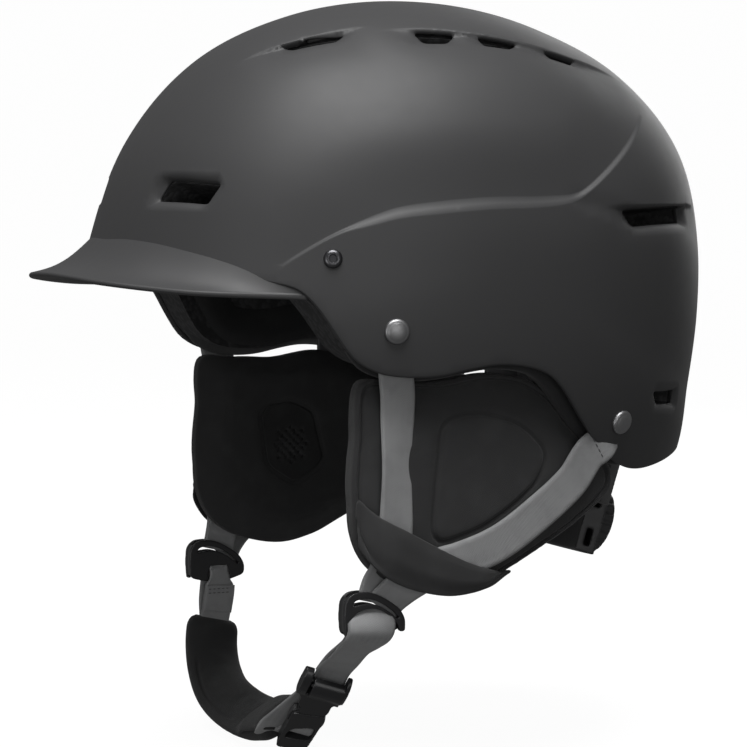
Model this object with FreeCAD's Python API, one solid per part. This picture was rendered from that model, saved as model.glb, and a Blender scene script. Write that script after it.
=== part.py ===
import FreeCAD, Part
import math
import os

# Ski helmet with ear pads, webbing harness, chin strap and rear size dial.
# Millimetres. +Z up, the wearer looks along -Y, the wearer's left is +X.

os.makedirs("parts", exist_ok=True)
V = FreeCAD.Vector

# ---- driving dimensions ------------------------------------------------------------
HALF_WIDTH = 110.0                 # centre line to the widest point over each ear
DOME_CENTRE = V(0, 5, 12)
ROUNDNESS = 2.25                   # 2 is an ellipsoid, higher is boxier
SHELL_T = 3.0
FOAM_T = 24.0
DOME_GRID = 29                     # points each way in the grids behind the dome's surfaces
FOAM_GAP = 0.8
PAD_T = 5.0
FOAM_LIFT = 2.5                    # the foam ends this far above the shell's edge
TRIM_TOP = 2.2                     # the edge trim starts just under the foam
TRIM_DROP = 3.0                    # and shows this far below the shell
WEB_W = 15.0                       # webbing width
WEB_T = 1.3                        # webbing thickness
CHIN_WEB_W = 13.6                  # width of the chin webbing
RIVET_R = 5.0
RIVET_FRONT = (-46, -10)           # (y, z) of the rivets and brow screws, on the shell's side
RIVET_REAR = (57, -49)
SCREW = (-69, 18)
CHIN_AXIS_Y, CHIN_AXIS_Z = -48.5, -129.0    # line through both strap dividers
DIVIDER_X = 87.0                   # distance of each divider from the centre plane
DIAL_TILT = 18.0                   # degrees the fit band drops towards the nape
BAND_R = 90.0                      # radius of the curved rack arms
PINION_R = 6.0                     # pitch radius of the pinion
TEETH = 12
DIAL_R, DIAL_H = 15.0, 8.0         # the turning grip on the nape
GRIP_NOTCHES = 18
CHIN_WEB_T = 1.2                   # thickness of the chin webbing and of the sewn folds
CHIN_PAD_W, CHIN_PAD_T = 24.0, 8.5
BEYOND, FLOOR_Z = 160.0, -260.0    # reach of the cutting solids past the helmet

# Radius of the middle profile about DOME_CENTRE, by angle from the brow over the crown.
PROFILE = [(-45, 152), (-15, 147), (5, 134.1), (25, 128.8), (45, 123.5), (65, 116.5), (90, 111.5),
           (115, 113.1), (135, 119.7), (155, 125.3), (175, 124.6), (190, 125.9), (205, 131.5),
           (218, 143), (235, 150), (270, 152), (315, 152)]

# Lower edge of the shell seen from the side, as (y, z) from the brow to the nape.
RIM = [(-150, 14), (-100, 10), (-84, 7), (-79, 4), (-74, -2), (-67, -13), (-62, -20), (-57, -24),
       (-50, -27), (-40, -28.3), (-28, -28), (-15, -25.5), (-3, -24), (11, -25.5), (21, -29.5),
       (28, -36), (36, -46), (47, -58), (58, -66), (70, -70), (85, -69.5), (105, -66), (150, -58)]

# Side crease of the shell, as (y, z).
CREASE = [(-85, 14), (-73, 21), (-54, 31), (-36, 35), (-9, 37.5), (14, 38), (29, 40), (37, 43),
          (51, 52), (66, 63), (79, 74), (100, 92)]


# ---- curves ------------------------------------------------------------------------
def smooth(t):
    t = max(0.0, min(1.0, t))
    return t * t * (3 - 2 * t)


def curve_value(stations, x, loop=None):
    """Catmull-Rom interpolation through (x, value) stations; loop is the period, if any."""
    pts = list(stations)
    if loop:
        while x < pts[0][0]:
            x += loop
        while x >= pts[0][0] + loop:
            x -= loop
        pts = [(pts[-1][0] - loop, pts[-1][1])] + pts + [(pts[0][0] + loop, pts[0][1]),
                                                        (pts[1][0] + loop, pts[1][1])]
    if x <= pts[0][0]:
        return pts[0][1]
    if x >= pts[-1][0]:
        return pts[-1][1]
    i = max(k for k in range(len(pts) - 1) if pts[k][0] <= x)
    (x1, y1), (x2, y2) = pts[i], pts[i + 1]
    x0, y0 = pts[i - 1] if i else (2 * x1 - x2, 2 * y1 - y2)
    x3, y3 = pts[i + 2] if i + 2 < len(pts) else (2 * x2 - x1, 2 * y2 - y1)
    m1 = (y2 - y0) / (x2 - x0)
    m2 = (y3 - y1) / (x3 - x1)
    h = x2 - x1
    t = (x - x1) / h
    return ((2 * t ** 3 - 3 * t ** 2 + 1) * y1 + (t ** 3 - 2 * t ** 2 + t) * h * m1
            + (3 * t ** 2 - 2 * t ** 3) * y2 + (t ** 3 - t ** 2) * h * m2)


def dome(direction, inset=0.0):
    """Point of the shell's outer surface along a direction from the dome's centre."""
    d = V(direction).normalize()
    side = abs(d.x)
    ring = math.hypot(d.y, d.z)
    angle = math.degrees(math.atan2(d.z, -d.y))
    r_mid = curve_value(PROFILE, angle, 360)
    rho = ((ring / r_mid) ** ROUNDNESS + (side / HALF_WIDTH) ** ROUNDNESS) ** (-1 / ROUNDNESS)
    p = DOME_CENTRE + d * rho
    above = p.z - curve_value(CREASE, p.y)
    ends = smooth((p.y + 88) / 30) * smooth((82 - p.y) / 30) * smooth((abs(p.x) - 55) / 25)
    dip = 2.6 * smooth(above / 8) * (1 - smooth((above - 8) / 30)) * ends
    return DOME_CENTRE + d * (rho - dip - inset)


def dome_at(y, z, side=1, inset=0.0):
    """Point of the dome over the side-view position (y, z)."""
    lo, hi = 0.0, 1.0
    for _ in range(40):
        mid = (lo + hi) / 2
        x = mid * HALF_WIDTH
        q = dome(V(x, y, z) - DOME_CENTRE, inset)
        if (q - DOME_CENTRE).Length > (V(x, y, z) - DOME_CENTRE).Length:
            lo = mid
        else:
            hi = mid
    return V(side * lo * HALF_WIDTH, y, z)


def dome_normal(p, step=1.0):
    d = (p - DOME_CENTRE).normalize()
    a = d.cross(V(0, 0, 1)).normalize()
    b = d.cross(a)
    k = step / 100
    u = dome(d + a * k) - dome(d - a * k)
    v = dome(d + b * k) - dome(d - b * k)
    n = u.cross(v).normalize()
    return n if n.dot(d) > 0 else n * -1


# ---- solids ------------------------------------------------------------------------
def face_through(grid):
    s = Part.BSplineSurface()
    s.interpolate(grid)
    return s.toShape()


def slab(outer, inner):
    """Solid between two grids of points, closed by ruled walls round their borders."""
    top, bottom = face_through(outer), face_through(inner)
    faces = [top, bottom]
    for a, b in zip(top.Edges, bottom.Edges):
        faces.append(Part.makeRuledSurface(a, b))
    shell = Part.makeShell(faces)
    shell.sewShape()
    solid = Part.Solid(Part.Shell(shell.Faces))
    if solid.Volume < 0:
        solid.reverse()
    return solid


def dome_slab(outer_inset, inner_inset, reach=132.0, n=DOME_GRID):
    """Layer of the dome between two insets, reaching well below the rim."""
    def grid(inset):
        rows = []
        for i in range(n):
            u = math.tan(math.radians(reach * (2 * i / (n - 1) - 1)) / 2)
            row = []
            for j in range(n):
                v = math.tan(math.radians(reach * (2 * j / (n - 1) - 1)) / 2)
                q = u * u + v * v
                row.append(dome(V(2 * u, 2 * v, 1 - q), inset))
            rows.append(row)
        return rows
    return slab(grid(outer_inset), grid(inner_inset))


def below_rim(drop):
    """Everything under the rim line, moved down by drop."""
    run = [V(-BEYOND, y, z - drop) for y, z in RIM]
    line = Part.BSplineCurve()
    line.interpolate(run)
    corners = [run[-1], V(-BEYOND, RIM[-1][0], FLOOR_Z), V(-BEYOND, RIM[0][0], FLOOR_Z), run[0]]
    edges = [line.toShape()] + [Part.makeLine(a, b) for a, b in zip(corners, corners[1:])]
    return Part.Face(Part.Wire(edges)).extrude(V(2 * BEYOND, 0, 0))


def vent_cutter(corners, depth, grow=0.0):
    """Prism through the wall at a vent, square to the surface, with rounded corners."""
    mid = V(0, 0, 0)
    for c in corners:
        mid += c * (1.0 / len(corners))
    n = dome_normal(mid)
    flat = []
    for c in corners:
        p = c - n * (c - mid).dot(n)
        flat.append(p + (p - mid).normalize() * grow)
    pts = []
    k = len(flat)
    for i in range(k):
        a, b, c = flat[i - 1], flat[i], flat[(i + 1) % k]
        cut = min((a - b).Length, (c - b).Length) * 0.3
        pts.append((b + (a - b).normalize() * cut, b, b + (c - b).normalize() * cut))
    edges = []
    for i in range(k):
        p0, corner, p1 = pts[i]
        arc = Part.BezierCurve()
        arc.setPoles([p0, corner, p1])
        edges.append(arc.toShape())
        edges.append(Part.makeLine(p1, pts[(i + 1) % k][0]))
    face = Part.Face(Part.Wire(edges))
    face.translate(n * 12)
    return face.extrude(n * -(12 + depth))


def mirrored(shape):
    return shape.mirror(V(0, 0, 0), V(1, 0, 0))


def placed(shape, origin, x_dir, z_dir):
    """Move a shape drawn at the origin so that its X and Z axes follow the given directions."""
    z = V(z_dir).normalize()
    x = V(x_dir)
    x = (x - z * x.dot(z)).normalize()
    y = z.cross(x)
    m = FreeCAD.Matrix(x.x, y.x, z.x, origin.x, x.y, y.y, z.y, origin.y, x.z, y.z, z.z, origin.z,
                       0, 0, 0, 1)
    return shape.transformed(m)


def rounded_box(w, h, d, r, centre=V(0, 0, 0)):
    """Box w by h by d centred on a point, its upright edges rounded."""
    b = Part.makeBox(w, h, d, V(-w / 2, -h / 2, -d / 2))
    up = [e for e in b.Edges if abs(e.Vertexes[0].Z - e.Vertexes[1].Z) > d / 2]
    b = b.makeFillet(r, up)
    b.translate(centre)
    return b


def ribbon(path, width_dirs, width, thickness, side=0.0):
    """Flat band along path points; side moves it along its own normal."""
    outer, inner = [], []
    n = len(path)
    for i in range(n):
        t = (path[min(i + 1, n - 1)] - path[max(i - 1, 0)]).normalize()
        w = V(width_dirs[i])
        w = (w - t * w.dot(t)).normalize()
        nrm = t.cross(w)
        rows_o, rows_i = [], []
        for k in (-0.5, -0.17, 0.17, 0.5):
            base = path[i] + w * (width * k) + nrm * side
            rows_o.append(base + nrm * (thickness / 2))
            rows_i.append(base - nrm * (thickness / 2))
        outer.append(rows_o)
        inner.append(rows_i)
    return slab(outer, inner)


def spread(stations, count):
    """Even points along a smooth curve through 3D stations."""
    c = Part.BSplineCurve()
    c.interpolate([V(*s) for s in stations])
    return c.discretize(count)


SAVED = {}


def save(name, shape):
    if shape.Volume < 0:
        shape = Part.Compound([Part.Solid(k.Shells[0].reversed()) for k in shape.Solids])
    SAVED[name] = shape
    shape.exportStep("parts/" + name + ".step")
    b = shape.BoundBox
    print("%-22s solids %d valid %s vol %9.1f  x %.1f..%.1f y %.1f..%.1f z %.1f..%.1f" % (
        name, len(shape.Solids), shape.isValid(), shape.Volume, b.XMin, b.XMax, b.YMin, b.YMax,
        b.ZMin, b.ZMax))


# ---- vents: corners on the left side, as (y, z) seen from the side, or directions ------
def on_dome(points):
    return [dome(V(x, y, z) - DOME_CENTRE) for x, y, z in points]


VENTS = {
    "front": on_dome([(36, -116, 49), (62, -103, 47), (59, -107, 39), (32, -119, 40)]),
    "top_front": on_dome([(38, -68, 102), (50, -44, 107), (53, -50, 105), (45, -66, 102)]),
    "top_1": on_dome([(60, -19, 108), (63, -1, 107), (68.5, -7, 104), (68, -18, 104)]),
    "top_2": on_dome([(64, 8, 106), (65.5, 26, 104), (68.7, 21, 102), (68.7, 9, 103)]),
    "top_3": on_dome([(64, 38, 101), (62.5, 54, 98), (65.6, 51, 96), (66.6, 40, 98)]),
    "rear": on_dome([(102, 57, 37), (78, 97, 38), (80, 96, 31), (101, 62, 30)]),
    "low_rear": on_dome([(90, 74, -37), (78, 90, -37), (78, 90, -43), (88, 77, -43)]),
}

# ---- shell with its brim -------------------------------------------------------------
shell = dome_slab(0, SHELL_T)
shell = shell.cut(below_rim(0))
shell = max(shell.Solids, key=lambda s: s.Volume)

# The brim runs out from the brow and dies away at both temples.
BRIM_ROOT = [(0, -131.5, 27), (23, -123.5, 26.5), (53, -113, 24), (72, -99, 20), (84, -86, 15),
             (91, -76, 8)]
BRIM_EDGE = [(0, -152, 11.4), (26, -151, 10.8), (45, -145, 9.4), (62, -131, 7.4), (77, -114, 5.8),
             (92, -78, 4.4)]


def both_sides(points):
    left = [V(-x, y, z) for x, y, z in reversed(points[1:])]
    return left + [V(x, y, z) for x, y, z in points]


def brim():
    root = Part.BSplineCurve()
    on_wall = [dome(p - DOME_CENTRE, 1.2) for p in both_sides(BRIM_ROOT)]
    root.interpolate(on_wall)
    edge = Part.BSplineCurve()
    edge.interpolate(both_sides(BRIM_EDGE))
    a, b = root.discretize(33), edge.discretize(33)
    top, under = [], []
    for p, q in zip(a, b):
        out = V(q.x - p.x, q.y - p.y, 0)
        run_top, run_under = [], []
        for k in range(6):
            t = k / 5.0
            sag = -3.2 * math.sin(math.pi * t) * min(1.0, out.Length / 15)
            c = p + (q - p) * t
            run_top.append(V(c.x, c.y, c.z + sag))
            run_under.append(V(c.x, c.y, c.z + sag - (5.5 - 3.0 * t)))
        top.append(run_top)
        under.append(run_under)
    return slab(top, under)


brim_solid = brim()
hollow = dome_slab(SHELL_T - 0.05, 60)
outer_shell = shell.fuse(brim_solid.cut(hollow))
for name, corners in VENTS.items():
    cutter = vent_cutter(corners, 14)
    outer_shell = outer_shell.cut(cutter).cut(mirrored(cutter))

# ---- foam liner, its edge trim and the soft pads inside ------------------------------------
LINER_OUT = SHELL_T + FOAM_GAP
LINER_IN = LINER_OUT + FOAM_T
foam_liner = dome_slab(LINER_OUT, LINER_IN)
foam_liner = foam_liner.cut(below_rim(-FOAM_LIFT))
for name, corners in VENTS.items():
    cutter = vent_cutter(corners, 60, -1.0)
    foam_liner = foam_liner.cut(cutter).cut(mirrored(cutter))

edge_trim = dome_slab(LINER_OUT + 0.1, LINER_OUT + 3.6)
edge_trim = edge_trim.cut(below_rim(TRIM_DROP)).common(below_rim(-TRIM_TOP))


def lining(y0, y1, z0, z1, x0, x1):
    """Soft pad against the foam inside a box."""
    p = dome_slab(LINER_IN + 0.3, LINER_IN + PAD_T)
    p = p.common(Part.makeBox(x1 - x0, y1 - y0, z1 - z0, V(x0, y0, z0)))
    return p


brow_pad = lining(-120, -40, 14, 42, -66, 66)
crown_pad = lining(-50, 60, 70, 120, -34, 34)
side_pad = lining(-30, 40, 0, 40, 40, 110)
nape_pad = lining(40, 130, -20, 20, -45, 45)

# ---- rivets that hold the webbing and the brow screws -------------------------------------------
def stud(y, z, head_r, head_h, shank_r, shank_l):
    """Domed head on the shell with a shank through the wall; also the wall hole's cutter."""
    p = dome_at(y, z)
    n = dome_normal(p)
    cap = Part.makeSphere(head_r * 1.6, V(0, 0, head_h - head_r * 1.6))
    head = Part.makeCylinder(head_r, head_h + 2, V(0, 0, 0.12)).common(cap)
    body = head.fuse(Part.makeCylinder(shank_r, shank_l + 0.5, V(0, 0, -shank_l)))
    hole = Part.makeCylinder(shank_r + 0.05, shank_l + 6, V(0, 0, -shank_l - 1))
    pocket = Part.makeCylinder(head_r + 4, 14, V(0, 0, -SHELL_T - 14.2))
    seat = Part.makeCylinder(head_r + 0.1, 10, V(0, 0, 0.02))
    move = [placed(s, p, V(0, 0, 1), n) for s in (body, hole, pocket, seat)]
    return move[0], move[1], move[2], move[3]


hardware = {}
for name, (y, z), dims in (("rivet_front", RIVET_FRONT, (RIVET_R, 2.6, 2.2, 7.5)),
                           ("rivet_rear", RIVET_REAR, (RIVET_R, 2.6, 2.2, 7.5)),
                           ("brow_screw", SCREW, (3.7, 1.6, 1.6, 7.0))):
    body, hole, pocket, seat = stud(y, z, *dims)
    outer_shell = outer_shell.cut(hole).cut(mirrored(hole))
    outer_shell = outer_shell.cut(seat).cut(mirrored(seat))
    if name == "brow_screw":
        pocket = hole
    foam_liner = foam_liner.cut(pocket).cut(mirrored(pocket))
    edge_trim = edge_trim.cut(pocket).cut(mirrored(pocket))
    hardware[name] = body

# ---- ear pads ----------------------------------------------------------------------------
PAD_MID = (-6, -70)                # centre of the ear pad's outline, as (y, z)
PAD_X = 86.0                       # middle of the pad's thickness
PAD_OUTLINE = [(-60, -37), (-62, -56), (-62, -78), (-60, -92), (-53, -104.5), (-45, -110),
               (-33, -114), (-18, -116), (-4, -113.5), (12, -106.5), (27, -98.5), (43, -88.5),
               (53, -80.5), (58, -73.5), (56, -65.5), (48, -57.5), (38, -47), (28, -36), (17, -29.5),
               (2, -27), (-20, -30.3), (-40, -31), (-55, -31.5)]


def polar(points, mid):
    """Outline radius by angle about a middle point."""
    st = sorted((math.degrees(math.atan2(z - mid[1], y - mid[0])) % 360,
                 math.hypot(y - mid[0], z - mid[1])) for y, z in points)
    return lambda a: curve_value(st, a, 360)


def pad_half(rho):
    return 4.0 + 3.0 * (1 - rho ** 4)


def on_disc(outline, mid, n, height):
    """Grid over a rounded outline; height(y, z, rho) gives x."""
    radius = polar(outline, mid)
    grid = []
    for i in range(n):
        u = 2 * i / (n - 1) - 1
        row = []
        for j in range(n):
            v = 2 * j / (n - 1) - 1
            a = u * math.sqrt(1 - v * v / 2)
            b = v * math.sqrt(1 - u * u / 2)
            rho = min(1.0, math.hypot(a, b))
            r = radius(math.degrees(math.atan2(b, a))) * rho
            if rho < 1e-9:
                y, z = mid
            else:
                y, z = mid[0] + r * a / rho, mid[1] + r * b / rho
            row.append(V(height(y, z, rho), y, z))
        grid.append(row)
    return grid


def disc_slab(outline, mid, n, outer, inner):
    return slab(on_disc(outline, mid, n, outer), on_disc(outline, mid, n, inner))


def plate(points, x0, x1):
    """Flat plate with rounded corners from a side-view polygon."""
    edges = []
    k = len(points)
    trims = []
    for i in range(k):
        a, b, c = (V(x0, *points[(i + q) % k]) for q in (-1, 0, 1))
        cut = min((a - b).Length, (c - b).Length) * 0.35
        trims.append((b + (a - b).normalize() * cut, b, b + (c - b).normalize() * cut))
    for i in range(k):
        p0, corner, p1 = trims[i]
        arc = Part.BezierCurve()
        arc.setPoles([p0, corner, p1])
        edges += [arc.toShape(), Part.makeLine(p1, trims[(i + 1) % k][0])]
    return Part.Face(Part.Wire(edges)).extrude(V(x1 - x0, 0, 0))


ear_pad = disc_slab(PAD_OUTLINE, PAD_MID, 21, lambda y, z, r: PAD_X + pad_half(r),
                    lambda y, z, r: PAD_X - pad_half(r))
ear_clip = rounded_box(2.4, 14, 30, 1.0, V(86, 8, -28))
ear_pad = ear_pad.cut(ear_clip)
wall_and_trim = dome_slab(-8, LINER_OUT + 3.9).cut(below_rim(TRIM_DROP + 0.3))
foam_edge = dome_slab(LINER_OUT, LINER_IN + 2).cut(below_rim(-FOAM_LIFT + 0.2))
ear_pad = ear_pad.cut(wall_and_trim).cut(foam_edge)
foam_liner = foam_liner.cut(ear_clip).cut(mirrored(ear_clip))

PANEL = [(-22, -46), (-6, -43), (13, -48), (25, -60), (20, -72), (9, -81), (-4, -89), (-27, -93)]
ear_panel = plate(PANEL, 93.3, 94.2)
MESH = [(-30, -53), (-17, -49), (-1, -56), (3, -79), (-12, -89), (-27, -80)]
ear_mesh = plate(MESH, 77.7, 78.7)
holes = []
for i in range(-3, 4):
    for j in range(-3, 4):
        if i * i + j * j < 11:
            holes.append(Part.makeCylinder(0.9, 3, V(77, -14 + i * 3.1, -70 + j * 3.1), V(1, 0, 0)))
ear_mesh = ear_mesh.cut(Part.Compound(holes))

# Diagonal sleeve that holds the webbing against the pad's lower front corner.
SLEEVE_TOP = [(-59, -76), (-48, -83), (-36, -90), (-23, -97.5), (-10, -104), (4, -108)]
SLEEVE_LOW = [(-58.5, -95), (-52, -104), (-43, -109.5), (-31, -113.5), (-17, -115), (3, -110.5)]


def sleeve():
    outer, inner = [], []
    for (y0, z0), (y1, z1) in zip(SLEEVE_TOP, SLEEVE_LOW):
        rows_o, rows_i = [], []
        for k in range(5):
            t = k / 4.0
            y, z = y0 + (y1 - y0) * t, z0 + (z1 - z0) * t
            x = 98.3 - 1.0 * t
            rows_o.append(V(x, y, z))
            rows_i.append(V(x - 1.2, y, z))
        outer.append(rows_o)
        inner.append(rows_i)
    return slab(outer, inner)


ear_sleeve = sleeve()

# ---- webbing harness -----------------------------------------------------------------------
def in_plane(path):
    """Width directions that keep a band flat against the side of the helmet."""
    dirs = []
    for i in range(len(path)):
        t = path[min(i + 1, len(path) - 1)] - path[max(i - 1, 0)]
        dirs.append(V(0, -t.z, t.y).normalize())
    return dirs


# The webbing lies inside the sloping wall, so it is further in along X than square to the wall.
front_x = dome_at(*RIVET_FRONT).x - SHELL_T - 2.2
rear_x = dome_at(*RIVET_REAR).x - SHELL_T - 4.3
WALL_SPACE = dome_slab(-6, SHELL_T + 0.15)
front_path = spread([(front_x, -46, -2), (front_x, -45.8, -12), (98.2, -45, -26), (95.6, -43.5, -38),
                     (94.6, -43, -52), (94.6, -43.5, -76), (94.3, -43.8, -92), (92.7, -44.3, -105),
                     (91.4, -45, -110), (89.3, -45.8, -113.3)], 25)
rear_path = spread([(rear_x - 0.6, 62, -45), (rear_x, 56, -50), (95.6, 49, -57), (96.2, 42.5, -61.5),
                    (95.8, 34.5, -72.5), (95.7, 16.5, -86.5), (95.7, 1.5, -95.5), (95.7, -15, -102),
                    (95.5, -26, -105.6), (95.0, -35, -108.8), (93.7, -44, -112.4)], 29)
front_strap = ribbon(front_path, in_plane(front_path), WEB_W, WEB_T)
rear_strap = ribbon(rear_path, in_plane(rear_path), WEB_W, WEB_T).cut(front_strap)
under_wall = WALL_SPACE.cut(below_rim(0))
front_strap, rear_strap = front_strap.cut(under_wall), rear_strap.cut(under_wall)
for path in (front_path[:10], rear_path[:8]):
    channel = ribbon(path, in_plane(path), WEB_W + 2.5, 7.0)
    foam_liner = foam_liner.cut(channel).cut(mirrored(channel))
    edge_trim = edge_trim.cut(channel).cut(mirrored(channel))


def rivet_bore(y, z):
    p = dome_at(y, z)
    return placed(Part.makeCylinder(2.3, 30, V(0, 0, -24)), p, V(0, 0, 1), dome_normal(p))


front_strap = front_strap.cut(rivet_bore(*RIVET_FRONT))
rear_strap = rear_strap.cut(rivet_bore(*RIVET_REAR))

# Strap divider: a rounded triangle with an arched slot above and an arched bar below.
BAR_R = 1.3
LOW_BAR, TOP_BAR = 6.4, 15.6       # arch radii of the two bars about the chin strap's axis
SLOT_HALF = 43.0                   # half angle of the upper slot, leaves 15 degrees of swing
SLIP = 0.08                        # gap between webbing and bars
AXIS_DIR = V(1, 0, 0)
HUB = V(0, CHIN_AXIS_Y, CHIN_AXIS_Z)


def arch(profile_face, half_angle):
    """Turn a face that lies in the upright X-Z plane through the hub about the hub's axis."""
    f = profile_face.copy()
    f.rotate(HUB, AXIS_DIR, -half_angle)
    return f.revolve(HUB, AXIS_DIR, 2 * half_angle)


def ring_face(x, r, inner, outer, upper):
    """Half annulus around a bar's section, on the side away from or towards the hub."""
    c = HUB + V(x, 0, r)
    s = 1 if upper else -1
    pts = [c + V(outer, 0, 0), c + V(0, 0, s * outer), c + V(-outer, 0, 0)]
    inn = [c + V(-inner, 0, 0), c + V(0, 0, s * inner), c + V(inner, 0, 0)]
    w = Part.Wire([Part.Arc(*pts).toShape(), Part.makeLine(pts[2], inn[0]), Part.Arc(*inn).toShape(),
                   Part.makeLine(inn[2], pts[0])])
    return Part.Face(w)


def bar_arch(x, r, half_angle):
    bar = Part.Face(Part.Wire(Part.Circle(HUB + V(x, 0, r), V(0, 1, 0), BAR_R).toShape()))
    return arch(bar, half_angle)


def divider(x):
    def yz(y, z):
        return (CHIN_AXIS_Y + y, CHIN_AXIS_Z + z)
    body = plate([yz(-11, 15.6), yz(0, 18.2), yz(11, 15.6), yz(13.6, 4), yz(12.8, -6), yz(8, -6),
                  yz(-8, -6), yz(-12.8, -6), yz(-13.6, 4)], x - BAR_R, x + BAR_R)
    disc = Part.makeCylinder(9.2, 10, HUB + V(x - 5, 0, 0), AXIS_DIR)
    gate = Part.makeBox(10, 15.4, 12, HUB + V(x - 5, -7.7, -12))
    body = body.cut(disc).cut(gate)
    slot = Part.Face(Part.makePolygon([HUB + V(x + k, 0, r) for k, r in
                     ((-5, 10.4), (5, 10.4), (5, TOP_BAR), (-5, TOP_BAR), (-5, 10.4))]))
    body = body.cut(arch(slot, SLOT_HALF))
    body = body.fuse(bar_arch(x, TOP_BAR, SLOT_HALF + 3)).fuse(bar_arch(x, LOW_BAR, 100))
    for y in (-8.0, 8.0):
        body = body.fuse(Part.makeBox(2 * BAR_R, 4.0, 2.2, HUB + V(x - BAR_R, y - 2.0, -2.2)))
    return body


def upper_fold(x):
    """Sewn fold of the two straps round the divider's top bar."""
    inner, outer = BAR_R + SLIP, BAR_R + SLIP + CHIN_WEB_T
    fold = arch(ring_face(x, TOP_BAR, inner, outer, False), 27)
    leg = arch(Part.Face(Part.Wire(Part.makePolygon([HUB + V(x - outer, 0, TOP_BAR),
               HUB + V(x - inner, 0, TOP_BAR), HUB + V(x - inner, 0, TOP_BAR + 2.6),
               HUB + V(x - outer, 0, TOP_BAR + 2.6), HUB + V(x - outer, 0, TOP_BAR)]).Edges)), 27)
    return fold.fuse(leg)


def lower_fold(x, tail):
    """Webbing looped over the divider's low bar; both legs hang straight down."""
    inner, outer = BAR_R + SLIP, BAR_R + SLIP + CHIN_WEB_T
    fold = arch(ring_face(x, LOW_BAR, inner, outer, True), 72)
    a = math.radians(72)
    ya, za = LOW_BAR * math.sin(a), LOW_BAR * math.cos(a)
    for sgn, low in ((1, 2.6), (-1, tail)):
        x0 = x + (inner if sgn > 0 else -outer)
        p = [HUB + V(x0, -ya, za), HUB + V(x0, 0, LOW_BAR), HUB + V(x0, ya, za)]
        q = [HUB + V(x0, 6.8, -1.5), HUB + V(x0, 6.8, -low), HUB + V(x0, -6.8, -low),
             HUB + V(x0, -6.8, -1.5)]
        run = [p[2]] + q + [p[0]]
        w = Part.Wire([Part.Arc(*p).toShape()] + [Part.makeLine(m, n) for m, n in zip(run, run[1:])])
        fold = fold.fuse(Part.Face(w).extrude(V(outer - inner, 0, 0)))
    return fold


strap_divider = divider(DIVIDER_X)
strap_fold = upper_fold(DIVIDER_X)

# ---- rear size dial ---------------------------------------------------------------------------
TILT = math.radians(DIAL_TILT)
UP = V(0, math.sin(TILT), math.cos(TILT))          # axis the rack arms turn about
OUT = V(0, math.cos(TILT), -math.sin(TILT))        # axis of the dial, pointing off the nape
DIAL_AT = V(0, 87, -98)
BAND_MID = DIAL_AT - OUT * BAND_R
ARM_T, ARM_LOW, ARM_HIGH = 2.0, 7.0, 12.0
REST_TAIL, REST_TIP = -8.0, 52.0                   # degrees round the band


def band(r0, r1, h0, h1, a0, a1):
    """Sector of a ring round the head; angles run from the nape towards the left side."""
    def pie(r):
        return Part.makeCylinder(r, h1 - h0, V(0, 0, h0), V(0, 0, 1), a1 - a0)
    s = pie(r1).cut(pie(r0))
    s.rotate(V(0, 0, 0), V(0, 0, 1), -a1)
    return placed(s, BAND_MID, OUT, UP)


def rack_arm(side):
    """Curved arm with a rack along one edge; side 1 rises above the pinion, -1 lies below."""
    r0, r1 = BAND_R - ARM_T / 2, BAND_R + ARM_T / 2
    h0, h1 = (ARM_LOW, ARM_HIGH) if side > 0 else (-ARM_HIGH, -ARM_LOW)
    a0, a1 = (REST_TAIL, REST_TIP) if side > 0 else (-REST_TIP, -REST_TAIL)
    arm = band(r0, r1, h0, h1, a0, a1)
    pitch = math.degrees(2 * math.pi * PINION_R / TEETH / BAND_R)
    k = math.floor(abs(REST_TAIL) / pitch - 0.4)
    for i in range(-k, k + 1):
        tip = side * (ARM_LOW - 1.7)
        root = side * (ARM_LOW + 0.2)
        outline = [V(-0.6, root, 0), V(0.6, root, 0), V(0.35, tip, 0), V(-0.35, tip, 0), V(-0.6, root, 0)]
        tooth = Part.Face(Part.makePolygon(outline)).extrude(V(0, 0, ARM_T - 0.2))
        a = math.radians(i * pitch)
        spoke = OUT * math.cos(a) + V(1, 0, 0) * math.sin(a)
        at = BAND_MID + spoke * (r0 + 0.1)
        arm = arm.fuse(placed(tooth, at, UP.cross(spoke), spoke))
    return arm


def pinion():
    body = Part.makeCylinder(4.7, 3.2, V(0, 0, -1.6))
    for i in range(TEETH):
        outline = [V(-0.6, 4.4, -1.6), V(0.6, 4.4, -1.6), V(0.35, 6.8, -1.6), V(-0.35, 6.8, -1.6),
                   V(-0.6, 4.4, -1.6)]
        tooth = Part.Face(Part.makePolygon(outline)).extrude(V(0, 0, 3.2))
        tooth.rotate(V(0, 0, 0), V(0, 0, 1), (i + 0.5) * 360.0 / TEETH)
        body = body.fuse(tooth)
    body = body.cut(Part.makeCylinder(3.0, 6, V(0, 0, -3)))
    return placed(body, DIAL_AT, V(-1, 0, 0), OUT)


def knob():
    grip = Part.makeCylinder(DIAL_R, DIAL_H, V(0, 0, 4.9))
    grip = grip.makeFillet(1.6, [e for e in grip.Edges if e.BoundBox.ZMin > 12])
    for i in range(GRIP_NOTCHES):
        a = 2 * math.pi * i / GRIP_NOTCHES
        r = DIAL_R + 0.7
        grip = grip.cut(Part.makeCylinder(1.5, 12, V(r * math.cos(a), r * math.sin(a), 3)))
    grip = grip.cut(Part.makeSphere(24, V(0, 0, 35.2)))
    grip = grip.fuse(Part.makeCylinder(3.0, 8, V(0, 0, -1.9)))
    return placed(grip, DIAL_AT, V(-1, 0, 0), OUT)


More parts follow.
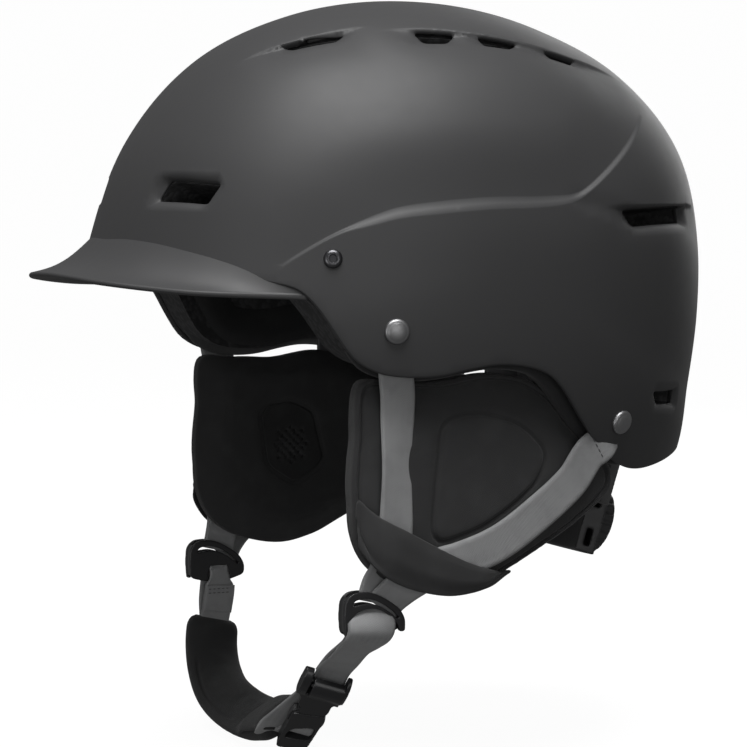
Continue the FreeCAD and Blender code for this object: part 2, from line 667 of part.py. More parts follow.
dial = knob()
dial_pinion = pinion()
arm_left, arm_right = rack_arm(1), rack_arm(-1)
housing = band(BAND_R - 4.4, BAND_R + 4.4, -15.5, 15.5, -17, 17)
for h0, h1 in ((4.9, ARM_HIGH + 0.3), (-ARM_HIGH - 0.3, -4.9)):
    housing = housing.cut(band(BAND_R - 1.3, BAND_R + 1.3, h0, h1, -20, 20))
housing = housing.cut(placed(Part.makeCylinder(7.3, 4.0, V(0, 0, -2.0)), DIAL_AT, V(1, 0, 0), OUT))
housing = housing.cut(placed(Part.makeCylinder(3.06, 12, V(0, 0, 0)), DIAL_AT, V(1, 0, 0), OUT))
collar = Part.makeCylinder(13.5, 1.4, V(0, 0, 3.3)).cut(Part.makeCylinder(3.06, 9, V(0, 0, 0)))
collar = placed(collar, DIAL_AT, V(1, 0, 0), OUT).cut(band(BAND_R - 9, BAND_R + 4.45, -20, 20, -20, 20))
hanger = placed(rounded_box(22, 28, 2.0, 3.0, V(0, 29.6, -0.5)), DIAL_AT, V(-1, 0, 0), OUT)
guide_left = band(BAND_R - 2.6, BAND_R + 2.6, ARM_LOW - 2, ARM_HIGH + 2, 42, 50)
guide_left = guide_left.cut(band(BAND_R - 1.1, BAND_R + 1.1, ARM_LOW - 0.15, ARM_HIGH + 0.15, 40, 54))
guide_right = band(BAND_R - 2.6, BAND_R + 2.6, -ARM_HIGH - 2, -ARM_LOW + 2, -50, -42)
guide_right = guide_right.cut(band(BAND_R - 1.1, BAND_R + 1.1, -ARM_HIGH - 0.15, -ARM_LOW + 0.15,
                                   -54, -40))
stay_left = band(BAND_R + 2.65, BAND_R + 4.65, ARM_LOW - 2, 32, 42, 50)
stay_right = band(BAND_R + 2.65, BAND_R + 4.65, -ARM_HIGH - 2, 32, -50, -42)
for piece in (hanger, stay_left, stay_right):
    foam_liner = foam_liner.cut(piece)
    edge_trim = edge_trim.cut(piece)

# ---- chin strap ----------------------------------------------------------------------------------
BUCKLE_AT = V(43, -50.5, -156.5)                   # middle of the buckle's webbing bar
BUCKLE_END = V(12, -51.7, -186)                    # middle of its far bar
DOWN = (BUCKLE_END - BUCKLE_AT).normalize()
ACROSS = V(0.22, 0.92, -0.32)
ACROSS = (ACROSS - DOWN * ACROSS.dot(DOWN)).normalize()
FACE = DOWN.cross(ACROSS).normalize()              # outward, away from the chin
BUCKLE_L = (BUCKLE_END - BUCKLE_AT).Length
LEG = BAR_R + SLIP + 0.6


def rolled(path, rolls):
    """Width directions leaned by the given angles, front edge down when positive."""
    out = []
    for i in range(len(path)):
        a = math.radians(curve_value(rolls, i / (len(path) - 1.0)))
        out.append(V(0, math.cos(a), math.sin(a)))
    return out


left_path = spread([(DIVIDER_X + LEG, -48.5, HUB.z - 2.0), (DIVIDER_X + LEG - 0.1, -48.5, HUB.z - 3.6),
                    (87.4, -48.6, HUB.z - 7.5), (83, -48.8, -140.6), (75, -49.2, -145.0),
                    (63, -49.7, -149.8), (52, -50.2, -153.0)], 17)
near_bar = BUCKLE_AT + FACE * -2.15
left_path = spread([left_path[k] for k in (0, 2, 5, 8, 11, 14)] + [near_bar - DOWN * 6.0,
                                                                  near_bar - DOWN * 1.7], 25)
left_dirs = rolled(left_path, [(0, 0), (0.2, -2), (1, -17.8)])
web_left = lower_fold(DIVIDER_X, 4.5).fuse(ribbon(left_path, left_dirs, CHIN_WEB_W, CHIN_WEB_T))
plug_ring = Part.makeCylinder(2.75, CHIN_WEB_W, V(-CHIN_WEB_W / 2, 0, 0), V(1, 0, 0))
plug_ring = plug_ring.cut(Part.makeCylinder(1.55, 15, V(-7.5, 0, 0), V(1, 0, 0)))

right_path = spread([(-DIVIDER_X - LEG, -48.5, HUB.z - 2.0), (-DIVIDER_X - LEG + 0.1, -48.5, HUB.z - 3.6),
                     (-87.9, -48.7, HUB.z - 8), (-87.0, -49.3, -145), (-84.6, -51, -152),
                     (-80.8, -53, -159.5)], 15)
right_dirs = rolled(right_path, [(0, 0), (0.2, -2), (0.6, -12), (1, -14)])
web_right = mirrored(lower_fold(DIVIDER_X, 7.0)).fuse(ribbon(right_path, right_dirs, CHIN_WEB_W, CHIN_WEB_T))

pad_path = spread([(-85.4, -50.6, -150), (-80.8, -53, -159.5), (-72, -54.8, -169), (-57, -56, -177),
                   (-38, -54.3, -181.6), (-18, -52.2, -182.0), (-4, -51.6, -179.6)], 25)
pad_dirs = rolled(pad_path, [(0, -18), (0.25, 2), (0.5, 24), (0.75, 30), (1, 14)])
chin_pad = ribbon(pad_path, pad_dirs, CHIN_PAD_W, CHIN_PAD_T)
chin_pad = chin_pad.cut(ribbon(right_path, right_dirs, CHIN_WEB_W + 0.2, 1.4))

far_bar = BUCKLE_END + DOWN * 2.2 + FACE * 1.0
buckle_path = spread([(-14, -52, -181.4), (-6, -51.7, -180.9), (1, -51.6, -182.2),
                      far_bar + V(-4.6, 0, 1.6), far_bar], 13)
buckle_dirs = rolled(buckle_path, [(0, 24), (0.4, 12), (1, -17)])
web_buckle = ribbon(buckle_path, buckle_dirs, CHIN_WEB_W, CHIN_WEB_T)
chin_pad = chin_pad.cut(ribbon(buckle_path, buckle_dirs, CHIN_WEB_W + 0.3, 1.5))


def on_buckle(shape):
    """Shapes drawn with X across the webbing, Y from the far bar up to the webbing bar, Z outward."""
    return placed(shape, BUCKLE_AT, ACROSS, FACE)


def block(x0, x1, y0, y1, z0, z1, r=0.0):
    b = Part.makeBox(x1 - x0, y1 - y0, z1 - z0, V(x0, y0, z0))
    if r:
        b = b.makeFillet(r, [e for e in b.Edges if abs(e.Vertexes[0].Z - e.Vertexes[1].Z) > 0.5])
    return b


BUCKLE_W = 10.0                     # half width of the buckle
TAB_Y, TAB_X = -13.0, 6.5           # pivots of the two release tabs
PIN_SEAT = 1.05                     # radius of the seats for the tabs' root pins


def buckle_plug_shape():
    body = block(-BUCKLE_W, BUCKLE_W, -11.6, -5.0, -3.2, 3.2, 1.2)
    for x in (-9.6, 9.6):
        body = body.fuse(Part.makeCylinder(2.5, 4.4, V(x, 0.4, -2.2)))
        body = body.fuse(block(*sorted((x * 0.775, x * 1.125)), -6, 1, -2.2, 2.2))
    body = body.fuse(Part.makeCylinder(1.5, 18.4, V(-9.2, 0, 0), V(1, 0, 0)))
    tongue = block(-2.2, 2.2, -27, -11, -1.3, 1.3, 0.9)
    body = body.fuse(tongue)
    for side in (-1, 1):
        x = side * TAB_X
        body = body.fuse(block(x - 1.7, x + 1.7, -13.6, -11, -1.5, 1.5))
        body = body.cut(Part.makeCylinder(PIN_SEAT, 8, V(x, TAB_Y, -4)))
        notch = sorted((x - side * (PIN_SEAT + 0.1), x + side * PIN_SEAT))
        body = body.cut(block(*notch, -14, TAB_Y, -4, 4))
    return body


def tab_shape(side):
    """Springy prong: root pin, arm, and a thumb pad that shows in the socket's side window."""
    x = TAB_X * side
    arm = Part.makeCylinder(1.0, 3.0, V(x, TAB_Y, -1.5))
    arm = arm.fuse(block(x - 0.9, x + 0.9, -26.5, TAB_Y, -1.5, 1.5))
    lo, hi = sorted((side * 7.0, side * 9.9))
    arm = arm.fuse(block(lo, hi, -26.5, -20.0, -1.5, 1.5, 0.7))
    return arm


def socket_shape():
    body = block(-BUCKLE_W, BUCKLE_W, -BUCKLE_L - 1.8, -12.4, -3.6, 3.6, 1.6)
    body = body.cut(block(-8.3, 8.3, -29.0, -12, -1.75, 1.75))
    for s in (-1, 1):
        lo, hi = sorted((s * 5.0, s * 12.0))
        body = body.cut(block(lo, hi, -27.2, -19.3, -1.9, 1.9))
        scoop = Part.makeCylinder(7, 12, V(s * 15.2, -23.2, -6))
        body = body.cut(scoop)
    body = body.cut(block(-7.3, 7.3, -BUCKLE_L - 9, -33.0, -6, 6, 1.5))
    for s in (-1, 1):
        body = body.fuse(Part.makeCylinder(3.2, 1.6, V(s * 8.3 - 0.8, -BUCKLE_L, 0), V(1, 0, 0)))
    return body.fuse(Part.makeCylinder(1.8, 17.4, V(-8.7, -BUCKLE_L, 0), V(1, 0, 0)))


buckle_plug = on_buckle(buckle_plug_shape())
buckle_socket = on_buckle(socket_shape())
tab_rear, tab_front = on_buckle(tab_shape(1)), on_buckle(tab_shape(-1))
far_ring = Part.makeCylinder(3.05, CHIN_WEB_W, V(-CHIN_WEB_W / 2, -BUCKLE_L, 0), V(1, 0, 0))
far_ring = far_ring.cut(Part.makeCylinder(1.85, 15, V(-7.5, -BUCKLE_L, 0), V(1, 0, 0)))
web_left = web_left.fuse(on_buckle(plug_ring)).cut(buckle_plug)
web_buckle = web_buckle.fuse(on_buckle(far_ring)).cut(buckle_socket)

save("dial", dial)
save("dial_pinion", dial_pinion)
save("rack_arm_left", arm_left)
save("rack_arm_right", arm_right)
save("dial_housing", housing)
save("dial_collar", collar)
save("dial_hanger", hanger)
save("arm_guide_left", guide_left)
save("arm_guide_right", guide_right)
save("guide_stay_left", stay_left)
save("guide_stay_right", stay_right)
save("chin_web_left", web_left)
save("chin_web_right", web_right)
save("chin_pad", chin_pad)
save("chin_web_buckle", web_buckle)
save("buckle_plug", buckle_plug)
save("buckle_socket", buckle_socket)
save("buckle_tab_rear", tab_rear)
save("buckle_tab_front", tab_front)
save("outer_shell", outer_shell)
save("foam_liner", foam_liner)
# The straps part the trim into a run round the brow and a run round the ears and nape.
trim_front, trim_rear = sorted(edge_trim.Solids, key=lambda run: run.CenterOfMass.y)
save("edge_trim_front", trim_front)
save("edge_trim_rear", trim_rear)
for name, body in (("ear_pad", ear_pad), ("ear_clip", ear_clip), ("ear_panel", ear_panel),
                   ("ear_mesh", ear_mesh), ("ear_sleeve", ear_sleeve),
                   ("front_strap", front_strap), ("rear_strap", rear_strap),
                   ("strap_divider", strap_divider), ("strap_fold", strap_fold)):
    save(name + "_left", body)
    save(name + "_right", mirrored(body))
save("brow_pad", brow_pad)
save("crown_pad", crown_pad)
save("side_pad_left", side_pad)
save("side_pad_right", mirrored(side_pad))
save("nape_pad", nape_pad)
for name, body in hardware.items():
    save(name + "_left", body)
    save(name + "_right", mirrored(body))
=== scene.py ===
import math
from contextlib import contextmanager

import bmesh
import bpy
import numpy as np
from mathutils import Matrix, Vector
from mathutils.geometry import delaunay_2d_cdt
from mathutils.kdtree import KDTree


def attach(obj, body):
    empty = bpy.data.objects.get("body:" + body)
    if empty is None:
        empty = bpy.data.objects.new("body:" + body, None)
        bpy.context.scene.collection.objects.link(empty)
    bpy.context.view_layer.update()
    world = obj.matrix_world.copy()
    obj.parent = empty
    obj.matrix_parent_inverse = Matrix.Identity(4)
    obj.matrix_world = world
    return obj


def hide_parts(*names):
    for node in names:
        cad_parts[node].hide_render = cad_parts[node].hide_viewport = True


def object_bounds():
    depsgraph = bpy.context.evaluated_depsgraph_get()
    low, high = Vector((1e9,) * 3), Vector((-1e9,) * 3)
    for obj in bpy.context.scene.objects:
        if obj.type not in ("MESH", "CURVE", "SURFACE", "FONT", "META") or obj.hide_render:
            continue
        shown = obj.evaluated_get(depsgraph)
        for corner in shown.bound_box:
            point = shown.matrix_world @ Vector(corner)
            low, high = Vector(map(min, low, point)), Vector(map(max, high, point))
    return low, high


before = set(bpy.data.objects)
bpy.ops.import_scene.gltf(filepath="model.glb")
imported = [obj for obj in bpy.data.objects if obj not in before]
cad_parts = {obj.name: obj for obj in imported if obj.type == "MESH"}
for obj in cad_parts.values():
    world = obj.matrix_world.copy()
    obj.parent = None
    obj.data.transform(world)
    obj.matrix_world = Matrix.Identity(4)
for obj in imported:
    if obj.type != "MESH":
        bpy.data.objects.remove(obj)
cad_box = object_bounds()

# Ski helmet: moulded shell with a short brim, foam and fabric inside, two ear pads, a webbing
# harness with a padded chin strap, and a size dial at the nape. Lengths below are millimetres;
# meshes are made in metres. +Z up, the wearer looks along -Y, the wearer's left is +X.

MM = 0.001
TOUCHING = 0.01 * MM                    # points this close are merged
SAME_POINT = 1e-7                        # points closer than this are one point to the triangulator
SIDES = ((1, "left"), (-1, "right"))


# ---- driving dimensions ----
X_AXIS = np.array([1.0, 0.0, 0.0])
CENTRE = np.array([0.0, 5.0, 12.0])      # middle of the dome
HALF_WIDTH = 110.0
ROUNDNESS = 2.25                         # 2 is an ellipsoid, higher is boxier
SHELL_T = 3.0
SKIN_STEP = 2.6                          # mesh spacing on the shell
MEAN_RADIUS = 118.0                      # of the dome, for spacing its mesh
SKIN_REACH = 2.35                        # radians from the crown that the dome's mesh runs down
VENT_REACH = 45                          # no vent's bevel reaches further than this from its middle
RIM_POINTS, LONGEST_VENT = 320, 250      # points round the rim, and more than any vent has
RIM_LIFT = 1.0                           # the skin stops this far above RIM; its rounded edge is below
ROW_CLEAR, ROW_LINKED = 0.5, 3.6         # crease points are kept, and joined, this far from any border
ROW_GAP = 6                              # crease points further apart than this aren't joined

# Radius of the middle profile about CENTRE, by angle from the brow over the crown.
PROFILE = [(-45, 152), (-15, 147), (5, 134.1), (25, 128.8), (45, 123.5), (65, 116.5), (90, 111.5),
           (115, 113.1), (135, 119.7), (155, 125.3), (175, 124.6), (190, 125.9), (205, 131.5),
           (218, 143), (235, 150), (270, 152), (315, 152)]

# Lower edge of the shell seen from the side, as (y, z) from the brow to the nape.
RIM = [(-150, 14), (-100, 10), (-84, 7), (-79, 4), (-74, -2), (-67, -13), (-62, -20), (-57, -24),
       (-50, -27), (-40, -28.3), (-28, -28), (-15, -25.5), (-3, -24), (11, -25.5), (21, -29.5),
       (28, -36), (36, -46), (47, -58), (58, -66), (70, -70), (85, -69.5), (105, -66), (150, -58)]

# Side crease: the valley line, how far below it the ridge line runs, and how deep the valley is.
VALLEY = [(-88, 14), (-85, 17), (-73, 25), (-64, 30), (-53, 35), (-44, 38), (-31, 40), (-8, 42),
          (15, 42.3), (30, 43), (37, 45), (51, 54), (66, 65), (79, 76), (100, 93)]
LEDGE = [(-88, 0.9), (-66, 1.1), (-53, 3.4), (-36, 4.7), (-8, 4.9), (15, 4.4), (29, 3.2), (38, 1.5),
         (51, 1.3), (100, 1.3)]
VALLEY_DEPTH = [(-90, 0.0), (-80, 0.7), (-60, 1.7), (-36, 2.3), (15, 2.3), (40, 2.0), (62, 1.5),
                (84, 0.0)]

# Steps beside the crown, as (y, x) lines; the crown stands proud of them.
CROWN_FRONT = [(-84, 29), (-78, 33), (-68, 39), (-57, 44.5), (-43, 49), (-34, 52)]
CROWN_REAR = [(-34, 56.5), (-29, 57.5), (-17, 60), (-1, 63), (14, 64.5), (27, 65), (40, 64.3),
              (53, 62.5), (69, 58.5), (78, 56)]
REAR_STEP_Z = 38.3                       # step above the rear vent
CROWN_STEP, REAR_STEP = 1.2, 1.3         # depths of the steps

# Vent holes on the left side: corners, and how far the bevel reaches out beyond each corner
# along its two neighbouring sides. All are put on the dome.
VENTS = {
    "front": ([(36, -116, 49), (62, -103, 47), (59, -107, 39), (32, -119, 40)],
              [(29, -120, 50.5), (64, -102, 48), (60, -107.5, 37), (27, -121.5, 38)], 2.6),
    "top_front": ([(38, -68, 102), (50, -44, 107), (53, -50, 105), (45, -66, 102)],
                  [(37, -73, 101), (50.5, -39, 108), (55, -47, 104), (46, -71, 100)], 0.9),
    "top_1": ([(60, -19, 108), (63, -1, 107), (68.5, -7, 104), (68, -18, 104)],
              [(58.5, -30, 109), (64, 5, 107), (70.5, -3, 103), (69.5, -24, 103)], 1.0),
    "top_2": ([(64, 8, 106), (65.5, 26, 104), (68.7, 21, 102), (68.7, 9, 103)],
              [(63.5, 1, 107), (65.8, 33, 103), (70.5, 25, 101), (70.3, 4, 102)], 0.9),
    "top_3": ([(64, 38, 101), (62.5, 54, 98), (65.6, 51, 96), (66.6, 40, 98)],
              [(65, 32, 102), (62, 61, 96), (67, 57, 95), (68.3, 36, 97)], 0.8),
    "rear": ([(102, 57, 37), (78, 97, 38), (80, 96, 31), (101, 62, 30)],
             [(104, 50, 38), (75, 102, 38.2), (77, 99, 29), (101, 59, 28)], 1.8),
    "low_rear": ([(90, 74, -37), (78, 90, -37), (78, 90, -43), (88, 77, -43)],
                 [(91, 72, -35.5), (76.5, 92, -35.5), (76.5, 92, -44.5), (88, 75, -44.5)], 1.2),
}


# ---- curves and the dome ----
def smooth(t):
    t = np.clip(t, 0.0, 1.0)
    return t * t * (3 - 2 * t)


def unit(v):
    return v / np.maximum(np.linalg.norm(v, axis=-1, keepdims=True), 1e-12)


def square_to(w, t):
    """Directions w turned square to unit directions t."""
    return unit(w - t * (w * t).sum(-1, keepdims=True))


def around(a):
    """Points of the unit circle at angles a."""
    return np.stack([np.cos(a), np.sin(a)], -1)


def run_along(path, power=1):
    """Distance along a path at each of its points, each step raised to a power."""
    steps = np.linalg.norm(np.diff(path, axis=0), axis=1) ** power
    return np.concatenate([[0], np.cumsum(steps)])


def sided(points, side):
    """Points made for the left side, or their mirror image if side is -1."""
    return np.asarray(points, float) * (side, 1, 1)


def tree_of(points):
    tree = KDTree(len(points))
    for i, p in enumerate(points):
        tree.insert(p, i)
    tree.balance()
    return tree


def curve_value(stations, x, loop=None):
    """Catmull-Rom interpolation through (x, value) stations; loop is the period, if any."""
    s = np.array(stations, float)
    x = np.asarray(x, float)
    if loop:
        if s[-1, 0] - s[0, 0] >= loop:
            s = s[:-1]
        shift = np.array([loop] + [0.0] * (s.shape[1] - 1))
        s = np.vstack([s[-1] - shift, s, s[0] + shift, s[1] + shift])
        x = s[1, 0] + np.mod(x - s[1, 0], loop)
    gx, gy = s[:, 0], s[:, 1]
    m = np.empty(len(gx))
    m[1:-1] = (gy[2:] - gy[:-2]) / (gx[2:] - gx[:-2])
    m[0] = (gy[1] - gy[0]) / (gx[1] - gx[0])
    m[-1] = (gy[-1] - gy[-2]) / (gx[-1] - gx[-2])
    x = np.clip(x, gx[0], gx[-1])
    i = np.clip(np.searchsorted(gx, x, side="right") - 1, 0, len(gx) - 2)
    h = gx[i + 1] - gx[i]
    t = (x - gx[i]) / h
    return ((2 * t ** 3 - 3 * t ** 2 + 1) * gy[i] + (t ** 3 - 2 * t ** 2 + t) * h * m[i]
            + (3 * t ** 2 - 2 * t ** 3) * gy[i + 1] + (t ** 3 - t ** 2) * h * m[i + 1])


def spread(stations, count):
    """Values of a curve over 0 to 1 at evenly spaced places."""
    return curve_value(stations, np.linspace(0, 1, count))


def dome(direction):
    """Points of the plain dome along directions from its centre."""
    d = unit(np.asarray(direction, float))
    ring = np.hypot(d[..., 1], d[..., 2])
    angle = np.degrees(np.arctan2(d[..., 2], -d[..., 1]))
    r_mid = curve_value(PROFILE, angle, 360)
    rho = ((ring / r_mid) ** ROUNDNESS
           + (np.abs(d[..., 0]) / HALF_WIDTH) ** ROUNDNESS) ** (-1 / ROUNDNESS)
    return CENTRE + d * rho[..., None]


def onto_dome(points, axis):
    """Moves points along one axis, away from the middle, until they lie on the dome."""
    p = np.array(points, float)
    sign = np.where(p[:, axis] < CENTRE[axis], -1.0, 1.0)
    lo, hi = np.zeros(len(p)), np.full(len(p), 170.0)
    for _ in range(40):
        mid = (lo + hi) / 2
        p[:, axis] = CENTRE[axis] + sign * mid
        reach = np.linalg.norm(dome(p - CENTRE) - CENTRE, axis=1)
        inside = reach > np.linalg.norm(p - CENTRE, axis=1)
        lo, hi = np.where(inside, mid, lo), np.where(inside, hi, mid)
    return p


def side_line_height(stations, y, z):
    """Height of side-view points over a line z(y), square to the line."""
    slope = (curve_value(stations, y + 1) - curve_value(stations, y - 1)) / 2
    return (z - curve_value(stations, y)) / np.hypot(1, slope)


def side_crease(p):
    x, y, z = np.abs(p[:, 0]), p[:, 1], p[:, 2]
    over = side_line_height(VALLEY, y, z)
    ledge = curve_value(LEDGE, y)
    depth = curve_value(VALLEY_DEPTH, y) * smooth((x - 50) / 20) * (y > -90) * (y < 84)
    rise = np.clip((over + ledge) / ledge, 0, 1)
    return depth * rise * (1 - smooth(over / 30))


def crown_steps(p):
    x, y = np.abs(p[:, 0]), p[:, 1]
    total = np.zeros(len(p))
    for line, y0, y1, fade in ((CROWN_FRONT, -84, -34, 14), (CROWN_REAR, -34, 78, 22)):
        out = x - curve_value(line, y)
        height = CROWN_STEP * smooth((y - y0) / fade) * smooth((y1 - y) / fade)
        total += (height * np.clip(out / CROWN_STEP, 0, 1) * (1 - smooth((out - CROWN_STEP) / 24))
                  * (p[:, 2] > 40))
    return total


def rear_step(p):
    under = REAR_STEP_Z - p[:, 2]
    ends = smooth((p[:, 1] - 46) / 14) * smooth((112 - p[:, 1]) / 12)
    return (REAR_STEP * np.clip(under / REAR_STEP, 0, 1) * (1 - smooth((under - REAR_STEP) / 15))
            * ends)


def tail_crease(p):
    """Faint facet that runs from the side crease to the rear vent."""
    over = side_line_height([(28, 39), (46, 34.5), (60, 30), (84, 29)], p[:, 1], p[:, 2])
    ends = smooth((p[:, 1] - 26) / 10) * smooth((76 - p[:, 1]) / 14)
    return 0.7 * smooth((over + 0.8) / 1.6) * (1 - smooth((over - 0.8) / 9)) * ends


def to_chart(p):
    d = unit(p - CENTRE)
    return d[..., :2] / (1 + d[..., 2:])


def from_chart(uv):
    q = (uv ** 2).sum(-1, keepdims=True)
    return dome(np.concatenate([2 * uv, 1 - q], -1))


def dome_normals(p):
    """Outward normals of the plain dome at points."""
    step = 0.01
    d = unit(p - CENTRE)
    a = unit(np.cross(d, [0.3, 0.1, 0.9]))
    b = np.cross(d, a)
    u = dome(d + a * step) - dome(d - a * step)
    v = dome(d + b * step) - dome(d - b * step)
    n = unit(np.cross(u, v))
    return n * np.sign((n * d).sum(-1, keepdims=True))


def rounded_loop(corners, share=0.3, step=0.8):
    """Closed polygon in a plane with rounded corners and evenly spaced points."""
    out = []
    k = len(corners)
    for i in range(k):
        a, b, c = corners[i - 1], corners[i], corners[(i + 1) % k]
        cut = min(np.linalg.norm(a - b), np.linalg.norm(c - b)) * share
        p0, p2 = b + unit(a - b) * cut, b + unit(c - b) * cut
        for t in np.linspace(0, 1, 6):
            out.append((1 - t) ** 2 * p0 + 2 * t * (1 - t) * b + t * t * p2)
        nxt = corners[(i + 2) % k]
        cut2 = min(np.linalg.norm(b - c), np.linalg.norm(nxt - c)) * share
        q = c + unit(b - c) * cut2
        n = int(np.linalg.norm(q - p2) / step)
        out += [p2 + (q - p2) * (j / n) for j in range(1, n)]
    return np.array(out)


def inside_loop(points, loop):
    """Which 2D points lie inside a closed 2D loop."""
    x, y = points[:, 0], points[:, 1]
    hit = np.zeros(len(points), bool)
    for (x0, y0), (x1, y1) in zip(loop, np.roll(loop, -1, 0)):
        if y0 == y1:
            continue
        cross = ((y0 > y) != (y1 > y)) & (x < (x1 - x0) * (y - y0) / (y1 - y0) + x0)
        hit ^= cross
    return hit


def loop_distance(points, loop):
    """Distance from points to a closed line."""
    best = np.full(len(points), 1e9)
    for a, b in zip(loop, np.roll(loop, -1, 0)):
        ab = b - a
        t = np.clip(((points - a) @ ab) / max(ab @ ab, 1e-12), 0, 1)
        best = np.minimum(best, np.linalg.norm(points - a - t[:, None] * ab, axis=1))
    return best


class Vent:
    """One hole through the shell with its bevel, on either side."""

    def __init__(self, hole, bevel, depth, side):
        hole, bevel = (sided(dome(np.array(c, float) - CENTRE), side) for c in (hole, bevel))
        self.depth = depth
        self.mid = hole.mean(0)
        self.n = dome_normals(self.mid[None])[0]
        self.a = unit(np.cross([0, 0, 1.0], self.n))
        self.b = np.cross(self.n, self.a)
        self.hole = rounded_loop(self.flat(hole))
        self.bevel = rounded_loop(self.flat(bevel), 0.25, 1.2)

    def flat(self, p):
        return np.stack([(p - self.mid) @ self.a, (p - self.mid) @ self.b], -1)

    def lifted(self, loop):
        p = self.mid + loop[:, :1] * self.a + loop[:, 1:] * self.b
        return dome(p - CENTRE)

    def relief(self, p):
        total = np.zeros(len(p))
        near = np.linalg.norm(p - self.mid, axis=1) < VENT_REACH
        if not near.any():
            return total
        f = self.flat(p[near])
        to_bevel = np.where(inside_loop(f, self.bevel), loop_distance(f, self.bevel), 0)
        to_hole = np.where(inside_loop(f, self.hole), 0, loop_distance(f, self.hole))
        share = to_bevel / np.maximum(to_bevel + to_hole, 1e-6)
        total[near] = self.depth * np.minimum(1, share * 1.02) ** 1.15
        return total


vents = [Vent(*spec, side) for spec in VENTS.values() for side in (1, -1)]


def relief(p):
    """How far the moulded skin lies inside the plain dome."""
    total = side_crease(p) + crown_steps(p) + rear_step(p) + tail_crease(p)
    for vent in vents:
        total = np.maximum(total, 0) + vent.relief(p)
    return total


def moulded(p):
    return p - unit(p - CENTRE) * relief(p)[:, None]


# ---- mesh helpers ----
def new_object(name, data):
    ob = bpy.data.objects.new(name, data)
    bpy.context.scene.collection.objects.link(ob)
    return ob


def new_mesh(name, points, faces):
    """Mesh from points in millimetres."""
    me = bpy.data.meshes.new(name)
    me.from_pydata((np.asarray(points, float) * MM).tolist(), [], [list(map(int, f)) for f in faces])
    me.update()
    return me


def new_piece(name, points, faces, material, body="helmet", cleaned=True):
    me = new_mesh(name, points, faces)
    me.validate()
    me.shade_smooth()
    ob = new_object(name, me)
    me.materials.append(material)
    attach(ob, body)
    if cleaned:
        clean(ob)
    return ob


def joined(parts):
    """Several (points, faces) as one."""
    points, faces, start = [], [], 0
    for p, f in parts:
        points.append(p)
        faces += [tuple(start + np.array(face)) for face in f]
        start += len(p)
    return np.vstack(points), faces


def rows_to_faces(rows, count, closed_rows=False, closed_cols=False, start=0):
    """Quads over a grid of points numbered row by row."""
    faces = []
    for i in range(rows if closed_rows else rows - 1):
        for j in range(count if closed_cols else count - 1):
            a = start + i * count + j
            b = start + i * count + (j + 1) % count
            c = start + ((i + 1) % rows) * count + (j + 1) % count
            d = start + ((i + 1) % rows) * count + j
            faces.append((a, b, c, d))
    return faces


def tube_faces(rows, count, start=0):
    """Faces of a tube made of rings of points, with a cap at each end."""
    first = tuple(range(start, start + count))
    last = tuple((rows - 1) * count + k for k in first)
    return rows_to_faces(rows, count, False, True, start) + [first[::-1], last]


def triangulated(points, edges):
    """Delaunay triangles over 2D points, keeping the given edges."""
    out = delaunay_2d_cdt([Vector(p) for p in points.tolist()], edges, [], 0, SAME_POINT)
    return np.array([list(v) for v in out[0]]), np.array(out[2], int)


def boundary_loops(tris):
    """Directed boundary edges of a triangle list, chained into loops of vertex numbers."""
    directed = {(a, b) for t in tris for a, b in ((t[0], t[1]), (t[1], t[2]), (t[2], t[0]))}
    nxt = {a: b for a, b in directed if (b, a) not in directed}
    loops = []
    while nxt:
        a, b = nxt.popitem()
        loop = [a]
        while b != a:
            loop.append(b)
            b = nxt.pop(b)
        loops.append(loop)
    return loops


def face_normals(points, tris):
    return np.cross(points[tris[:, 1]] - points[tris[:, 0]], points[tris[:, 2]] - points[tris[:, 0]])


def vertex_normals(points, tris):
    n = np.zeros_like(points)
    fn = face_normals(points, tris)
    for k in range(3):
        np.add.at(n, tris[:, k], fn)
    return unit(n)


def thickened(points, tris, thickness, edges_by_loop):
    """Closed solid from an open skin: an inner skin and rounded walls round every border.

    edges_by_loop(loop points) gives the wall's section as (outward, inward) steps.
    """
    n = vertex_normals(points, tris)
    count = len(points)
    inner = points - n * thickness
    all_points = [points, inner]
    faces = [tuple(t) for t in tris] + [tuple(count + np.array(t)[::-1]) for t in tris]
    total = 2 * count
    for loop in boundary_loops(tris):
        loop = np.array(loop)
        p = points[loop]
        t = unit(np.roll(p, -1, 0) - np.roll(p, 1, 0))
        away = unit(np.cross(t, n[loop]))
        section = edges_by_loop(p)
        ids = [loop]
        for out, into in section:
            all_points.append(p + away * out - n[loop] * into)
            ids.append(np.arange(total, total + len(loop)))
            total += len(loop)
        ids.append(loop + count)
        for r0, r1 in zip(ids, ids[1:]):
            for j in range(len(loop)):
                k = (j + 1) % len(loop)
                faces.append((r0[k], r0[j], r1[j], r1[k]))
    return np.vstack(all_points), faces


